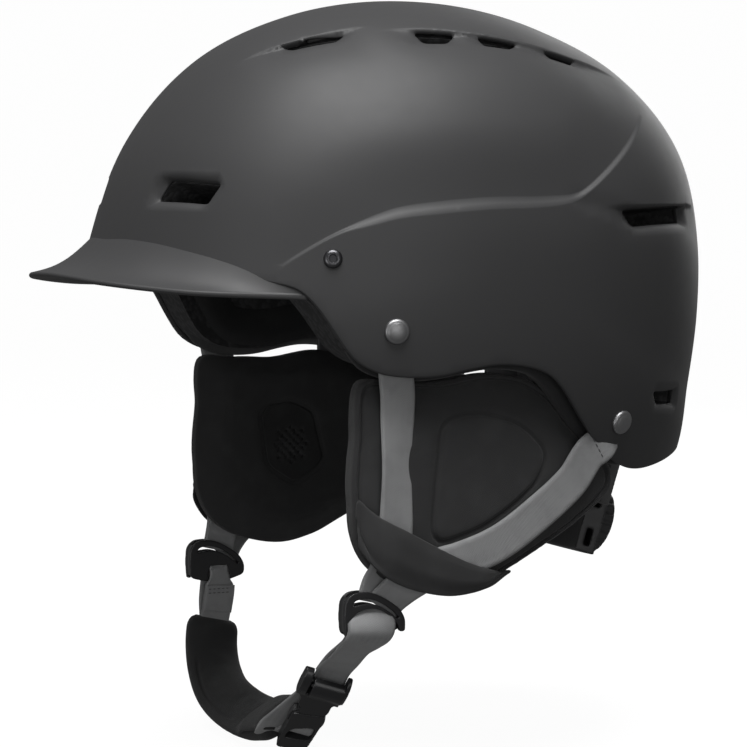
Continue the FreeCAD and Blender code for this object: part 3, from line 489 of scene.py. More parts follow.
# ---- materials ----
class Shader:
    """A node material under construction; sizes given to textures are in millimetres."""

    def __init__(self, name, base, rough, metallic=0.0, spec=0.5):
        self.mat = bpy.data.materials.new(name)
        self.mat.use_nodes = True
        self.tree = self.mat.node_tree
        self.bsdf = self.tree.nodes["Principled BSDF"]
        self.bsdf.inputs["Roughness"].default_value = rough
        self.bsdf.inputs["Metallic"].default_value = metallic
        self.bsdf.inputs["Specular IOR Level"].default_value = spec
        self.colour = self.rgb(base)
        self.rough = self.value(rough)
        self.height = None
        coords = self.node("ShaderNodeTexCoord")
        scale = self.node("ShaderNodeVectorMath", operation="SCALE")
        scale.inputs["Scale"].default_value = 1 / MM
        self.link(coords.outputs["Object"], scale.inputs[0])
        self.place = scale.outputs[0]

    def node(self, kind, **settings):
        n = self.tree.nodes.new(kind)
        for key, val in settings.items():
            setattr(n, key, val)
        return n

    def link(self, a, b):
        self.tree.links.new(a, b)

    def rgb(self, colour):
        n = self.node("ShaderNodeRGB")
        n.outputs[0].default_value = (*colour, 1)
        return n.outputs[0]

    def value(self, v):
        n = self.node("ShaderNodeValue")
        n.outputs[0].default_value = v
        return n.outputs[0]

    def math(self, operation, a, b=None, clamp=False):
        n = self.node("ShaderNodeMath", operation=operation, use_clamp=clamp)
        for i, x in enumerate((a, b)):
            if x is None:
                continue
            if isinstance(x, (int, float)):
                n.inputs[i].default_value = x
            else:
                self.link(x, n.inputs[i])
        return n.outputs[0]

    def noise(self, size, detail=3.0, stretch=(1, 1, 1)):
        m = self.node("ShaderNodeMapping")
        m.inputs["Scale"].default_value = stretch
        self.link(self.place, m.inputs["Vector"])
        n = self.node("ShaderNodeTexNoise")
        n.inputs["Scale"].default_value = 1 / size
        n.inputs["Detail"].default_value = detail
        self.link(m.outputs[0], n.inputs["Vector"])
        return n.outputs["Fac"]

    def cells(self, size):
        n = self.node("ShaderNodeTexVoronoi", feature="F1")
        n.inputs["Scale"].default_value = 1 / size
        self.link(self.place, n.inputs["Vector"])
        return n.outputs["Distance"]

    def ramp(self, fac, low, high):
        """Maps low..high of a value to 0..1."""
        n = self.node("ShaderNodeMapRange", interpolation_type="SMOOTHSTEP")
        n.inputs["From Min"].default_value = low
        n.inputs["From Max"].default_value = high
        self.link(fac, n.inputs["Value"])
        return n.outputs["Result"]

    def tint(self, fac, colour, amount=1.0):
        """Mixes a colour in where fac is high."""
        n = self.node("ShaderNodeMix", data_type="RGBA")
        self.link(self.math("MULTIPLY", fac, amount, True), n.inputs["Factor"])
        self.link(self.colour, n.inputs["A"])
        self.link(self.rgb(colour), n.inputs["B"])
        self.colour = n.outputs["Result"]

    def roughen(self, fac, amount):
        self.rough = self.math("ADD", self.rough, self.math("MULTIPLY", fac, amount), True)

    def raise_by(self, fac, millimetres):
        part = self.math("MULTIPLY", fac, millimetres)
        self.height = part if self.height is None else self.math("ADD", self.height, part)

    def edge_wear(self, colour, amount):
        """Rubs a colour in along sharp edges, in patches."""
        geometry = self.node("ShaderNodeNewGeometry")
        worn = self.ramp(geometry.outputs["Pointiness"], 0.515, 0.6)
        patchy = self.ramp(self.noise(9.0), 0.35, 0.7)
        self.tint(self.math("MULTIPLY", worn, patchy), colour, amount)

    def coat_of(self, **inputs):
        for key, val in inputs.items():
            self.bsdf.inputs[key.replace("_", " ")].default_value = val

    def done(self):
        self.link(self.colour, self.bsdf.inputs["Base Color"])
        self.link(self.rough, self.bsdf.inputs["Roughness"])
        if self.height is not None:
            bump = self.node("ShaderNodeBump")
            bump.inputs["Distance"].default_value = MM
            bump.inputs["Strength"].default_value = 1.0
            self.link(self.height, bump.inputs["Height"])
            self.link(bump.outputs[0], self.bsdf.inputs["Normal"])
        return self.mat


def shell_material():
    """Matte moulded shell with a fine satin grain."""
    s = Shader("shell_matte", (0.036, 0.036, 0.037), 0.48, spec=0.33)
    s.tint(s.noise(38.0, 2.0), (0.043, 0.043, 0.044), 0.5)
    s.raise_by(s.noise(0.55, 2.0), 0.010)
    s.raise_by(s.noise(0.16, 1.0), 0.004)
    s.roughen(s.noise(6.0), 0.07)
    s.edge_wear((0.06, 0.06, 0.06), 0.35)
    return s.done()


def plastic_material(name, base, rough, grain=0.012):
    s = Shader(name, base, rough, spec=0.5)
    s.tint(s.noise(4.0), tuple(c * 1.5 for c in base), 0.5)
    s.raise_by(s.noise(0.28, 2.0), grain)
    s.roughen(s.noise(2.2), 0.12)
    s.edge_wear((0.10, 0.10, 0.105), 0.5)
    return s.done()


def foam_material():
    """Expanded bead foam, moulded dark."""
    s = Shader("foam_beads", (0.050, 0.050, 0.051), 0.72, spec=0.2)
    beads = s.cells(2.9)
    s.raise_by(s.ramp(beads, 0.15, 0.62), -0.22)
    # Painted shade: the hollows between the beads, which the bump above sinks, are painted darker.
    s.tint(s.ramp(beads, 0.4, 0.7), (0.010, 0.010, 0.0105), 0.6)
    s.tint(s.noise(14.0), (0.040, 0.040, 0.041), 0.5)
    return s.done()


def cloth_material(name, base, light, rough=0.78, thread=0.42, sheen=0.15, knit=0.05):
    """Close-woven or knitted fabric laid over a soft form: threads both ways, sheen and nap."""
    s = Shader(name, base, rough, spec=0.25)
    s.coat_of(Sheen_Weight=sheen, Sheen_Roughness=0.45)
    split = s.node("ShaderNodeSeparateXYZ")
    s.link(s.place, split.inputs[0])
    x, y, z = split.outputs
    turn = 2 * math.pi / thread
    warp = s.math("SINE", s.math("MULTIPLY", s.math("ADD", y, x), turn))
    weft = s.math("SINE", s.math("MULTIPLY", s.math("SUBTRACT", z, s.math("MULTIPLY", x, 0.6)), turn))
    weave = s.math("MULTIPLY", warp, weft)
    s.raise_by(weave, knit)
    s.raise_by(s.noise(0.9, 3.0), 0.05)
    # Painted highlight and shade: raised thread crossings are painted lighter and the dips between them
    # darker.
    s.tint(s.ramp(weave, -0.4, 0.9), light, 0.55)
    s.tint(s.ramp(s.noise(11.0), 0.45, 0.75), light, 0.5)
    s.roughen(s.noise(3.0), 0.1)
    return s.done()


def webbing_material():
    """Flat woven nylon: ribs across the band and a herringbone along it, read from the band's UVs."""
    s = Shader("webbing_weave", (0.235, 0.237, 0.24), 0.6, spec=0.3)
    s.coat_of(Sheen_Weight=0.25, Sheen_Roughness=0.4)
    uv = s.node("ShaderNodeUVMap", uv_map="band")
    split = s.node("ShaderNodeSeparateXYZ")
    s.link(uv.outputs[0], split.inputs[0])
    across, along = split.outputs[0], split.outputs[1]
    zig = s.math("PINGPONG", across, 1.25)
    pick = s.math("SINE", s.math("MULTIPLY", s.math("ADD", along, zig), 2 * math.pi / 0.62))
    cord = s.math("SINE", s.math("MULTIPLY", across, 2 * math.pi / 0.5))
    s.raise_by(pick, 0.045)
    s.raise_by(s.math("MULTIPLY", cord, pick), 0.02)
    # Painted highlight and shade: the raised picks are painted lighter and the hollows between them darker.
    s.tint(s.ramp(pick, -0.9, 0.2), (0.32, 0.322, 0.325), 0.7)
    s.tint(s.ramp(s.noise(7.0), 0.4, 0.8), (0.18, 0.182, 0.185), 0.4)
    s.roughen(s.noise(1.4), 0.12)
    return s.done()


def metal_material(name, base, rough, brushed=True):
    s = Shader(name, base, rough, metallic=1.0)
    s.tint(s.noise(1.2, 4.0), tuple(c * 0.72 for c in base), 0.6)
    if brushed:
        s.raise_by(s.noise(0.12, 4.0, stretch=(1, 0.05, 1)), 0.02)
    s.roughen(s.noise(0.8), 0.14)
    s.edge_wear((0.9, 0.9, 0.92), 0.4)
    return s.done()


def thread_material():
    s = Shader("sewing_thread", (0.05, 0.05, 0.052), 0.6)
    s.coat_of(Sheen_Weight=0.3)
    s.raise_by(s.noise(0.15), 0.05)
    s.tint(s.noise(1.0), (0.10, 0.10, 0.105), 0.6)
    return s.done()


SHELL = shell_material()
FOAM = foam_material()
PLASTIC = plastic_material("moulded_plastic", (0.020, 0.020, 0.021), 0.42)
GLOSS = plastic_material("glossy_plastic", (0.014, 0.014, 0.015), 0.24, 0.003)
GRIP = plastic_material("grip_plastic", (0.028, 0.028, 0.029), 0.55, 0.03)
PAD_CLOTH = cloth_material("pad_cloth", (0.028, 0.028, 0.0285), (0.044, 0.044, 0.045), rough=0.66)
CHIN_CLOTH = cloth_material("chin_cloth", (0.024, 0.024, 0.0245), (0.040, 0.040, 0.041), thread=0.5)
LINING = cloth_material("lining_cloth", (0.062, 0.062, 0.063), (0.098, 0.098, 0.099), thread=0.9,
                        sheen=0.5, knit=0.12)
TRIM = cloth_material("trim_cloth", (0.018, 0.018, 0.0185), (0.03, 0.03, 0.031), rough=0.66,
                      thread=0.5)
WEBBING = webbing_material()
MESH_CLOTH = cloth_material("mesh_cloth", (0.018, 0.018, 0.0185), (0.046, 0.046, 0.047), thread=0.7, knit=0.1)
STEEL = metal_material("rivet_steel", (0.30, 0.30, 0.305), 0.36)
SCREW = metal_material("screw_black", (0.09, 0.09, 0.095), 0.26, False)
THREAD = thread_material()


# ---- shell ----
def rim_loop(count=RIM_POINTS, lift=0.0):
    """Points of the dome along the shell's lower edge, anticlockwise from above."""
    turn = np.linspace(0, 2 * math.pi, count, endpoint=False)
    lo, hi = np.full(count, 0.3), np.full(count, 2.6)
    for _ in range(44):
        mid = (lo + hi) / 2
        p = from_chart(mid[:, None] * around(turn))
        over = p[:, 2] > curve_value(RIM, p[:, 1]) + lift
        lo, hi = np.where(over, mid, lo), np.where(over, hi, mid)
    return from_chart(lo[:, None] * around(turn))


def crease_rows():
    """Polylines on the dome where the moulded skin bends sharply."""
    rows = []
    y = np.arange(-86, 82, 2.0)
    slope = np.hypot(1, (curve_value(VALLEY, y + 1) - curve_value(VALLEY, y - 1)) / 2)
    ledge = curve_value(LEDGE, y)
    for share, off in ((0, 1.3), (0, 0.55), (0, 0), (0.5, 0), (1, 0), (1, -0.6), (1, -1.4)):
        z = curve_value(VALLEY, y) + (off - share * ledge) * slope
        rows.append(onto_dome(np.stack([np.full(len(y), 50.0), y, z], -1), 0))
    for line, y0, y1 in ((CROWN_FRONT, -83, -36), (CROWN_REAR, -32, 77)):
        y = np.arange(y0, y1, 2.0)
        for off in (-0.8, 0, 0.6, 1.2, 2.2):
            x = curve_value(line, y) + off
            rows.append(onto_dome(np.stack([x, y, np.full(len(y), 60.0)], -1), 2))
    y = np.arange(48, 108, 2.0)
    for off in (0.8, 0, -0.65, -1.3, -2.1):
        rows.append(onto_dome(np.stack([np.full(len(y), 50.0), y,
                                        np.full(len(y), REAR_STEP_Z + off)], -1), 0))
    return rows + [sided(r, -1) for r in rows]


def skin_points():
    """Rings of evenly spaced points over the dome, from the crown down."""
    out = [np.zeros((1, 2))]
    step = SKIN_STEP / MEAN_RADIUS
    for k in range(1, int(SKIN_REACH / step)):
        polar = k * step
        n = max(6, int(2 * math.pi * math.sin(polar) / step))
        a = 2 * math.pi * (np.arange(n) + 0.5 * (k % 2)) / n
        out.append(math.tan(polar / 2) * around(a))
    return np.vstack(out)


def build_shell():
    rim = rim_loop(lift=RIM_LIFT)
    fixed = [rim]
    total = len(rim)
    edges = [(i, (i + 1) % total) for i in range(total)]
    hole_charts = []
    for vent in vents:
        hole_charts.append(to_chart(vent.lifted(vent.hole)))
        for ring in (vent.hole, vent.bevel):
            loop = vent.lifted(ring)
            fixed.append(loop)
            edges += [(total + i, total + (i + 1) % len(loop)) for i in range(len(loop))]
            total += len(loop)
    rim_chart = to_chart(rim)
    lines = []
    blocked = tree_of(np.vstack(fixed))
    for row in crease_rows():
        row = row[inside_loop(to_chart(row), rim_chart)]
        clear = np.array([blocked.find(p)[2] for p in row])
        row, clear = row[clear > ROW_CLEAR], clear[clear > ROW_CLEAR]
        gaps = np.linalg.norm(np.diff(row, axis=0), axis=1)
        linked = (gaps < ROW_GAP) & (clear[1:] > ROW_LINKED) & (clear[:-1] > ROW_LINKED)
        edges += [(total + int(i), total + int(i) + 1) for i in np.flatnonzero(linked)]
        total += len(row)
        lines.append(row)
    fixed = np.vstack(fixed + lines)
    tree = tree_of(fixed)
    free = skin_points()
    free = free[inside_loop(free, rim_chart)]
    at = from_chart(free)
    free = free[[tree.find(p)[2] > 0.55 * SKIN_STEP for p in at]]
    chart = np.vstack([to_chart(fixed), free])
    chart, tris = triangulated(chart, edges)
    middle = chart[tris].mean(1)
    keep = inside_loop(middle, rim_chart)
    for hole in hole_charts:
        keep &= ~inside_loop(middle, hole)
    tris = tris[keep]
    used, tris = np.unique(tris, return_inverse=True)
    tris = tris.reshape(-1, 3)
    points = moulded(from_chart(chart[used]))
    if ((points[tris].mean(1) - CENTRE) * face_normals(points, tris)).sum() < 0:
        tris = tris[:, ::-1]

    def section(loop):
        if len(loop) > LONGEST_VENT:
            return [(0.4, 0.1), (0.75, 0.4), (0.95, 0.85), (1.0, 1.5), (0.9, 2.3), (0.5, 2.85)]
        return [(0.25, 0.06), (0.5, 0.3), (0.6, 0.8), (0.6, 2.6)]

    points, faces = thickened(points, tris, SHELL_T, section)
    shell = new_piece("shell_skin", points, faces, SHELL, cleaned=False)
    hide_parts("outer_shell")


# The brim leaves the brow at a crisp line and dies away at both temples.
BRIM_ROOT = [(0, -131.5, 27), (23, -123.5, 26.5), (53, -113, 24), (72, -99, 20), (84, -86, 15),
             (91, -76, 8)]
BRIM_EDGE = [(0, -152, 11.4), (26, -151, 10.8), (45, -145, 9.4), (62, -131, 7.4), (77, -114, 5.8),
             (92, -78, 4.4)]
BRIM_SUNK, BRIM_HOLLOW = 1.4, 3.2        # root inside the dome, and the dip of the upper face
BRIM_T, BRIM_THINS = 5.5, 3.3            # thickness at the root, and how much is lost by the tip


def smooth_path(stations, count):
    """Even points along a Catmull-Rom curve through 3D stations."""
    s = np.array(stations, float)
    length = run_along(s, 0.75)
    fine = np.linspace(0, length[-1], 60 * len(s))
    curve = np.stack([curve_value(np.stack([length, s[:, k]], -1), fine) for k in range(3)], -1)
    run = run_along(curve)
    even = np.linspace(0, run[-1], count)
    return np.stack([np.interp(even, run, curve[:, k]) for k in range(3)], -1)


def both_sides(stations):
    return [(-x, y, z) for x, y, z in reversed(stations[1:])] + list(stations)


def build_brim():
    count = 121
    root = smooth_path(both_sides(BRIM_ROOT), count)
    edge = smooth_path(both_sides(BRIM_EDGE), count)
    root = dome(root - CENTRE) - unit(root - CENTRE) * BRIM_SUNK
    run = np.linalg.norm((edge - root)[:, :2], axis=1)
    full = np.minimum(1.0, run / 15)
    top, under = [], []
    steps = np.linspace(0, 1, 15)
    for t in steps:
        c = root + (edge - root) * t
        c[:, 2] -= BRIM_HOLLOW * math.sin(math.pi * t) * full
        thick = BRIM_T - BRIM_THINS * t
        top.append(c)
        low = c.copy()
        low[:, 2] -= thick
        under.append(low)
    lip = []
    out = unit((edge - root) * [1, 1, 0])
    for a in np.radians(np.linspace(70, -70, 7)):
        mid = (top[-1] + under[-1]) / 2
        half = (top[-1] - under[-1])[:, 2:] / 2
        lip.append(mid + out * math.cos(a) * 1.1 + np.array([0, 0, 1.0]) * half * math.sin(a))
    rows = top + lip + under[::-1]
    points = np.vstack(rows)
    faces = rows_to_faces(len(rows), count, closed_rows=True)
    for side in (0, count - 1):
        cap = [r * count + side for r in range(len(rows))]
        faces.append(cap if side else cap[::-1])
    brim = new_piece("brim", points, faces, SHELL)


@contextmanager
def editing(ob):
    """Gives the object's mesh as a bmesh, and writes it back smooth-shaded when the block ends."""
    bm = bmesh.new()
    bm.from_mesh(ob.data)
    yield bm
    bm.to_mesh(ob.data)
    bm.free()
    ob.data.shade_smooth()


def clean(ob):
    """Merges touching points, drops empty faces and turns every face outward."""
    with editing(ob) as bm:
        bmesh.ops.remove_doubles(bm, verts=bm.verts, dist=TOUCHING)
        bmesh.ops.dissolve_degenerate(bm, edges=bm.edges, dist=TOUCHING / 2)
        bmesh.ops.recalc_face_normals(bm, faces=bm.faces)


def pick(ob):
    bpy.ops.object.select_all(action="DESELECT")
    bpy.context.view_layer.objects.active = ob
    ob.select_set(True)


def rebuilt(ob, voxel):
    """Adds a modifier that rebuilds the surface as an even grid of faces."""
    remesh = ob.modifiers.new("remesh", "REMESH")
    remesh.mode, remesh.voxel_size = "VOXEL", voxel * MM


def apply_all(ob):
    for m in list(ob.modifiers):
        bpy.ops.object.modifier_apply(modifier=m.name)
    ob.data.shade_smooth()


# ---- soft goods: swelling by cloth simulation ----
SIM_FRAMES, SIM_STEPS = 20, 6            # frames, and solver steps in each
PRESSURE = 4.0
NEAREST = 6                              # simulated points that a point's move is averaged from


def swell(points, faces, voxel, cap):
    """Inflates a copy of a closed form as cloth; returns the move to add at any point of it."""
    ob = new_object("swell", new_mesh("swell", points, faces))
    scene = bpy.context.scene
    pick(ob)
    rebuilt(ob, voxel)
    apply_all(ob)
    rest = np.array([v.co[:] for v in ob.data.vertices]) / MM
    cloth = ob.modifiers.new("cloth", "CLOTH")
    cloth.settings.use_pressure = True
    cloth.settings.uniform_pressure_force = PRESSURE
    cloth.settings.effector_weights.gravity = 0
    cloth.settings.quality = SIM_STEPS
    scene.frame_start, scene.frame_end = 1, SIM_FRAMES
    for k in range(1, SIM_FRAMES + 1):
        scene.frame_set(k)
    done = ob.evaluated_get(bpy.context.evaluated_depsgraph_get())
    moved = np.array([v.co[:] for v in done.data.vertices]) / MM - rest
    far = np.linalg.norm(moved, axis=1, keepdims=True)
    moved *= np.minimum(1, cap / np.maximum(far, 1e-9))
    bpy.data.objects.remove(ob)
    scene.frame_set(1)
    tree = tree_of(rest)

    def field(p):
        out = np.zeros_like(p)
        for i, q in enumerate(p):
            hits = tree.find_n(q, NEAREST)
            w = np.array([1 / (h[2] + 0.4 * voxel) ** 2 for h in hits])
            out[i] = (moved[[h[1] for h in hits]] * w[:, None]).sum(0) / w.sum()
        return out
    return field


# ---- liner edge ----
LINER_SECTION = [(7.2, -6), (6.8, -2), (6.9, 0.6), (7.6, 2.2), (9.2, 3.1), (11.5, 3.4), (15, 3.2),
                 (20, 2.6), (24.5, 1.6), (27.3, -0.2), (28.6, -2.6), (28.9, -6), (28.4, -12),
                 (27.0, -16), (24.0, -15), (12.0, -5)]


def build_liner_edge():
    """Padded fabric edge that wraps the foam all round the shell's opening."""
    count = 360
    rim = rim_loop(count)
    n = dome_normals(rim)
    t = unit(np.roll(rim, -3, 0) - np.roll(rim, 3, 0))
    down = unit(np.cross(n, t))
    down *= np.sign(-down[:, 2:])
    rows = []
    lower = np.where(rim[:, 1] < -60, 0.4, 1.0) * np.where(rim[:, 1] > 66, 0.7, 1.0)
    for inset, drop in LINER_SECTION:
        shift = drop * lower[:, None] if drop > 0 else drop
        rows.append(rim - n * inset + down * shift)
    rows = np.array(rows)
    for _ in range(3):
        rows = (np.roll(rows, 1, 1) + 2 * rows + np.roll(rows, -1, 1)) / 4
    fine = []
    for s in np.arange(0, len(rows), 0.34):
        i = int(s)
        f = s - i
        k = [(i + q) % len(rows) for q in (-1, 0, 1, 2)]
        a, b, c, d = (rows[q] for q in k)
        fine.append(b + 0.5 * f * (c - a + f * (2 * a - 5 * b + 4 * c - d + f * (3 * (b - c) + d - a))))
    faces = rows_to_faces(len(fine), count, True, True)
    edge = new_piece("liner_edge", np.vstack(fine), faces, TRIM)
    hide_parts("edge_trim_front", "edge_trim_rear")


# ---- flat webbing ----
WEB_W, WEB_T = 15.0, 1.3
CHIN_WEB_W, CHIN_WEB_T = 13.6, 1.15
ACROSS_COUNT = 11                        # points across a band, on each face


def band(name, path, width_dirs, width, thick=WEB_T, body="helmet", cup=None):
    """Woven strap along a path, with thicker selvedges, rounded edges and band UVs in millimetres.

    width is one number, or one for each station; cup gives how far the edges droop at each station.
    """
    width = np.broadcast_to(width, len(path))
    path = np.asarray(path, float)
    n = len(path)
    t = unit(np.gradient(path, axis=0))
    w = square_to(np.asarray(width_dirs, float), t)
    nrm = np.cross(t, w)
    even = np.linspace(-1, 1, ACROSS_COUNT)
    share = np.sin(even * math.pi / 2) * 0.35 + even * 0.65
    lift = (0.5 + 0.1 * smooth((np.abs(share) - 0.7) / 0.2)) * np.sqrt(np.clip(1 - (share ** 2) ** 9, 0, 1))
    side = np.concatenate([share, share[-2:0:-1]])
    high = np.concatenate([lift, -lift[-2:0:-1]])
    count = len(side)
    run = run_along(path)
    points, uvs = [], []
    for i in range(n):
        a = side * width[i] / 2
        p = path[i] + w[i] * a[:, None] + nrm[i] * (high * thick)[:, None]
        if cup is not None:
            p = p + np.asarray(cup[i])[None] * (side ** 2)[:, None]
        points.append(p)
        uvs += [(x, run[i]) for x in a]
    ob = new_piece(name, np.vstack(points), tube_faces(n, count), WEBBING, body, cleaned=False)
    layer = ob.data.uv_layers.new(name="band")
    for loop in ob.data.loops:
        layer.data[loop.index].uv = uvs[loop.vertex_index]
    with editing(ob) as bm:
        bmesh.ops.recalc_face_normals(bm, faces=bm.faces)
    return ob


def in_plane(path):
    t = np.gradient(np.asarray(path, float), axis=0)
    return unit(np.stack([np.zeros(len(t)), -t[:, 2], t[:, 1]], -1))


def stitches(name, line, body, along, gap, thick, out):
    """A row of thread stitches along a line of points; out points off the cloth."""
    line = np.asarray(line, float)
    run = run_along(line)
    points, faces = [], []
    s = 0.0
    while s + along <= run[-1]:
        ends = np.array([s, s + along])
        a, b = (np.array([np.interp(e, run, line[:, k]) for k in range(3)]) for e in ends)
        axis = unit(b - a)
        side = unit(np.cross(axis, out))
        up = np.cross(side, axis)
        base = len(points)
        for f in (0.0, 0.12, 0.3, 0.5, 0.7, 0.88, 1.0):
            bow = thick * 0.9 * math.sin(math.pi * f)
            r = thick * (0.35 + 0.65 * math.sin(math.pi * f))
            for k in range(6):
                q = 2 * math.pi * k / 6
                points.append(a + (b - a) * f + up * (bow - 0.15 + r * math.sin(q) * 0.7)
                              + side * r * math.cos(q))
        faces += tube_faces(7, 6, base)
        s += along + gap
    new_piece(name, points, faces, THREAD, body)


RIVETS = {"rivet_front": (-46, -10), "rivet_rear": (57, -49)}
HUB_Y, HUB_Z = -48.5, -129.0


def rivet_x(name):
    y, z = RIVETS[name]
    return onto_dome([[50, y, z]], 0)[0, 0]


def build_harness(side, tag):
    front_x = rivet_x("rivet_front") - SHELL_T - 2.2
    rear_x = rivet_x("rivet_rear") - SHELL_T - 4.3
    front = smooth_path([(front_x, -46, -2), (front_x, -45.0, -12), (98.6, -43.6, -26), (96.7, -42, -36),
                         (94.9, -41.3, -44), (94.7, -41.2, -56), (94.9, -41.5, -76), (94.2, -42.2, -92),
                         (90.6, -43.8, -103.6), (87.2, -45.8, -110.2), (86.4, -47.6, -117.4)], 76)
    dirs = in_plane(front)
    dirs *= np.sign((dirs * [0, 1, 0]).sum(-1, keepdims=True))
    turn = np.radians(spread([(0, 0), (0.3, 0), (0.52, 13), (0.66, 7), (0.78, 0), (1, 0)], len(front)))
    dirs = dirs * np.cos(turn)[:, None] + np.outer(np.sin(turn), -X_AXIS)
    strap = band("front_strap_web_" + tag, sided(front, side), sided(dirs, side), WEB_W)
    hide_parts("front_strap_" + tag)
    rear = smooth_path([(rear_x - 0.6, 62, -45), (rear_x, 56, -50), (95.9, 49, -57), (96.4, 42.5, -61.5),
                        (96.0, 34.5, -72.5), (96.2, 16.5, -86.5), (96.6, 1.5, -95.5), (97.0, -15, -101.2),
                        (96.9, -26, -103.8), (95.3, -34, -108.2), (92.0, -39.8, -113.0),
                        (88.8, -43.4, -117.2), (87.9, -45.2, -119.6)], 96)
    dirs = in_plane(rear)
    dirs *= np.sign((dirs * [0, 0.6, -0.8]).sum(-1, keepdims=True))
    bow = -0.9 * smooth((np.arange(len(rear)) - 62) / 12) * (1 - smooth((np.arange(len(rear)) - 86) / 9))
    rear, dirs, cup = (sided(v, side) for v in (rear, dirs, np.outer(bow, X_AXIS)))
    strap = band("rear_strap_web_" + tag, rear, dirs, WEB_W, cup=cup)
    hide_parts("rear_strap_" + tag, "strap_fold_" + tag)
    at = 16                              # the station where the strap is sewn to its fold
    out = side * X_AXIS
    line = [rear[at] + dirs[at] * k + out * WEB_T * 0.62 for k in np.linspace(-6.6, 6.6, 8)]
    stitches("rear_strap_stitch_" + tag, line, "helmet", 1.7, 0.7, 0.26, out)


# ---- strap dividers: two moulded plates with the webbing held between them ----
DIVIDER_TOP = [(-13.5, 7), (-12.9, 13.4), (-9.9, 16.3), (-4.2, 16.8), (0.9, 15.4), (6.8, 12.0),
               (10.8, 8.9), (12.9, 4.8)]
DIVIDER_EDGE = [(-12.9, -0.2), *DIVIDER_TOP, (12.6, 0.6), (4.8, -1.9), (-1.5, -2.7), (-8, -1.4)]
DIVIDER_ARCH = [(-12.9, -0.6), *DIVIDER_TOP, (12.7, 0.2), (10.3, 0.0), (9.6, 3.0), (7.4, 5.4),
                (4.8, 7.6), (1.8, 9.2), (-0.8, 9.9), (-4.2, 9.8), (-8.0, 8.6), (-10.9, 5.6),
                (-11.0, -0.6)]
DIVIDER_WALLS = [[(-12.8, 0.6), (-13.4, 7), (-12.8, 13), (-10.9, 15.2), (-11.1, 8), (-11.2, 1.2)],
                 [(12.5, 1.0), (12.8, 4.7), (11.6, 7.2), (10.6, 4.4), (10.4, 1.2)]]
DIVIDER_SLOT = [(-10.0, 11.0), (-9.0, 13.2), (-5.0, 14.1), (-0.8, 13.3), (3.4, 11.4), (7.5, 8.4), (10.5, 5.4),
                (9.4, 5.4), (5.6, 8.6), (1.5, 10.9), (-2.5, 12.0), (-6.5, 11.7)]
DIVIDER_BACK_MOUTH = [(-4.6, -0.6), (-4.4, 3.0), (-1.6, 4.9), (1.8, 4.9), (5.0, 3.0), (5.8, 0.2), (0.5, -0.6)]
FRONT_PLATE, BACK_PLATE = (88.3, 90.5), (83.9, 85.6)


def slab(outline, holes, low, high, share, step, shift=(0, 0)):
    """Flat plate square to its first axis, with rounded corners and openings."""
    loops = [rounded_loop(np.array(o, float) + shift, share, step) for o in (outline, *holes)]
    flat, tris = filled_skin(loops[:1], 1.6, loops[1:])
    skin = np.column_stack([np.full(len(flat), high), flat])
    return thickened(skin, tris, high - low, lambda p: [(0, 0.5 * (high - low))])


def fused_piece(name, parts, material, body, voxel, passes):
    """Joins overlapping plates into one moulding with rounded edges."""
    ob = new_piece(name, *joined(parts), material, body)
    soften_solid(ob, voxel, passes)
    return ob


def build_divider(side, tag):
    inset = (BACK_PLATE[0] + 0.5, FRONT_PLATE[1] - 0.5)
    plates = [(DIVIDER_ARCH, [DIVIDER_SLOT], *FRONT_PLATE),
              (DIVIDER_EDGE, [DIVIDER_SLOT, DIVIDER_BACK_MOUTH], *BACK_PLATE)]
    plates += [(wall, [], *inset) for wall in DIVIDER_WALLS]
    parts = [slab(*plate, 0.45, 0.5, (HUB_Y, HUB_Z)) for plate in plates]
    ob = fused_piece("divider_moulded_" + tag, [(sided(p, side), f) for p, f in parts], GLOSS,
                     "chin_loop", 0.27, 7)
    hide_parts("strap_divider_" + tag)


# ---- pieces shaped from the frame's own solids ----
def frame_copy(name, node, material):
    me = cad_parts[node].data.copy()
    me.name = name
    me.materials.clear()
    me.materials.append(material)
    return new_object(name, me)


def soften_solid(ob, voxel, passes):
    """Rebuilds a solid's surface with every edge rounded, as an injection moulding has."""
    pick(ob)
    rebuilt(ob, voxel)
    soften = ob.modifiers.new("soften", "SMOOTH")
    soften.factor, soften.iterations = 0.5, passes
    apply_all(ob)


def moulded_from(name, node, material, body, voxel, passes):
    """Moulded version of a frame solid, with every edge softly rounded."""
    ob = frame_copy(name, node, material)
    soften_solid(ob, voxel, passes)
    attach(ob, body)
    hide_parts(node)


SEAM_DEPTH, SEAM_HALF = 1.3, 1.5         # sewn channels in the lining pads


def stuffed_from(name, node, seams):
    """Padded fabric version of a frame solid: swollen as cloth, then sewn along its seams.

    seams are (axis, place) planes that the sewn channels follow.
    """
    ob = frame_copy(name, node, LINING)
    soften_solid(ob, 2.6, 6)
    points = np.array([v.co[:] for v in ob.data.vertices]) / MM
    faces = [tuple(p.vertices) for p in ob.data.polygons]
    field = swell(points, faces, 5.0, 2.2)
    with editing(ob) as bm:
        bmesh.ops.subdivide_edges(bm, edges=bm.edges, cuts=1, use_grid_fill=True)
        bmesh.ops.smooth_vert(bm, verts=bm.verts, factor=0.5, use_axis_x=True, use_axis_y=True,
                              use_axis_z=True)
        bm.normal_update()
        p = np.array([v.co[:] for v in bm.verts]) / MM
        n = np.array([v.normal[:] for v in bm.verts])
        inward = np.clip(-(n * unit(p - CENTRE)).sum(-1), 0, 1)
        p = p + field(p)
        for axis, place in seams:
            p -= n * (SEAM_DEPTH * inward * np.exp(-((p[:, axis] - place) / SEAM_HALF) ** 2))[:, None]
        for v, q in zip(bm.verts, p):
            v.co = q * MM
    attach(ob, "helmet")
    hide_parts(node)


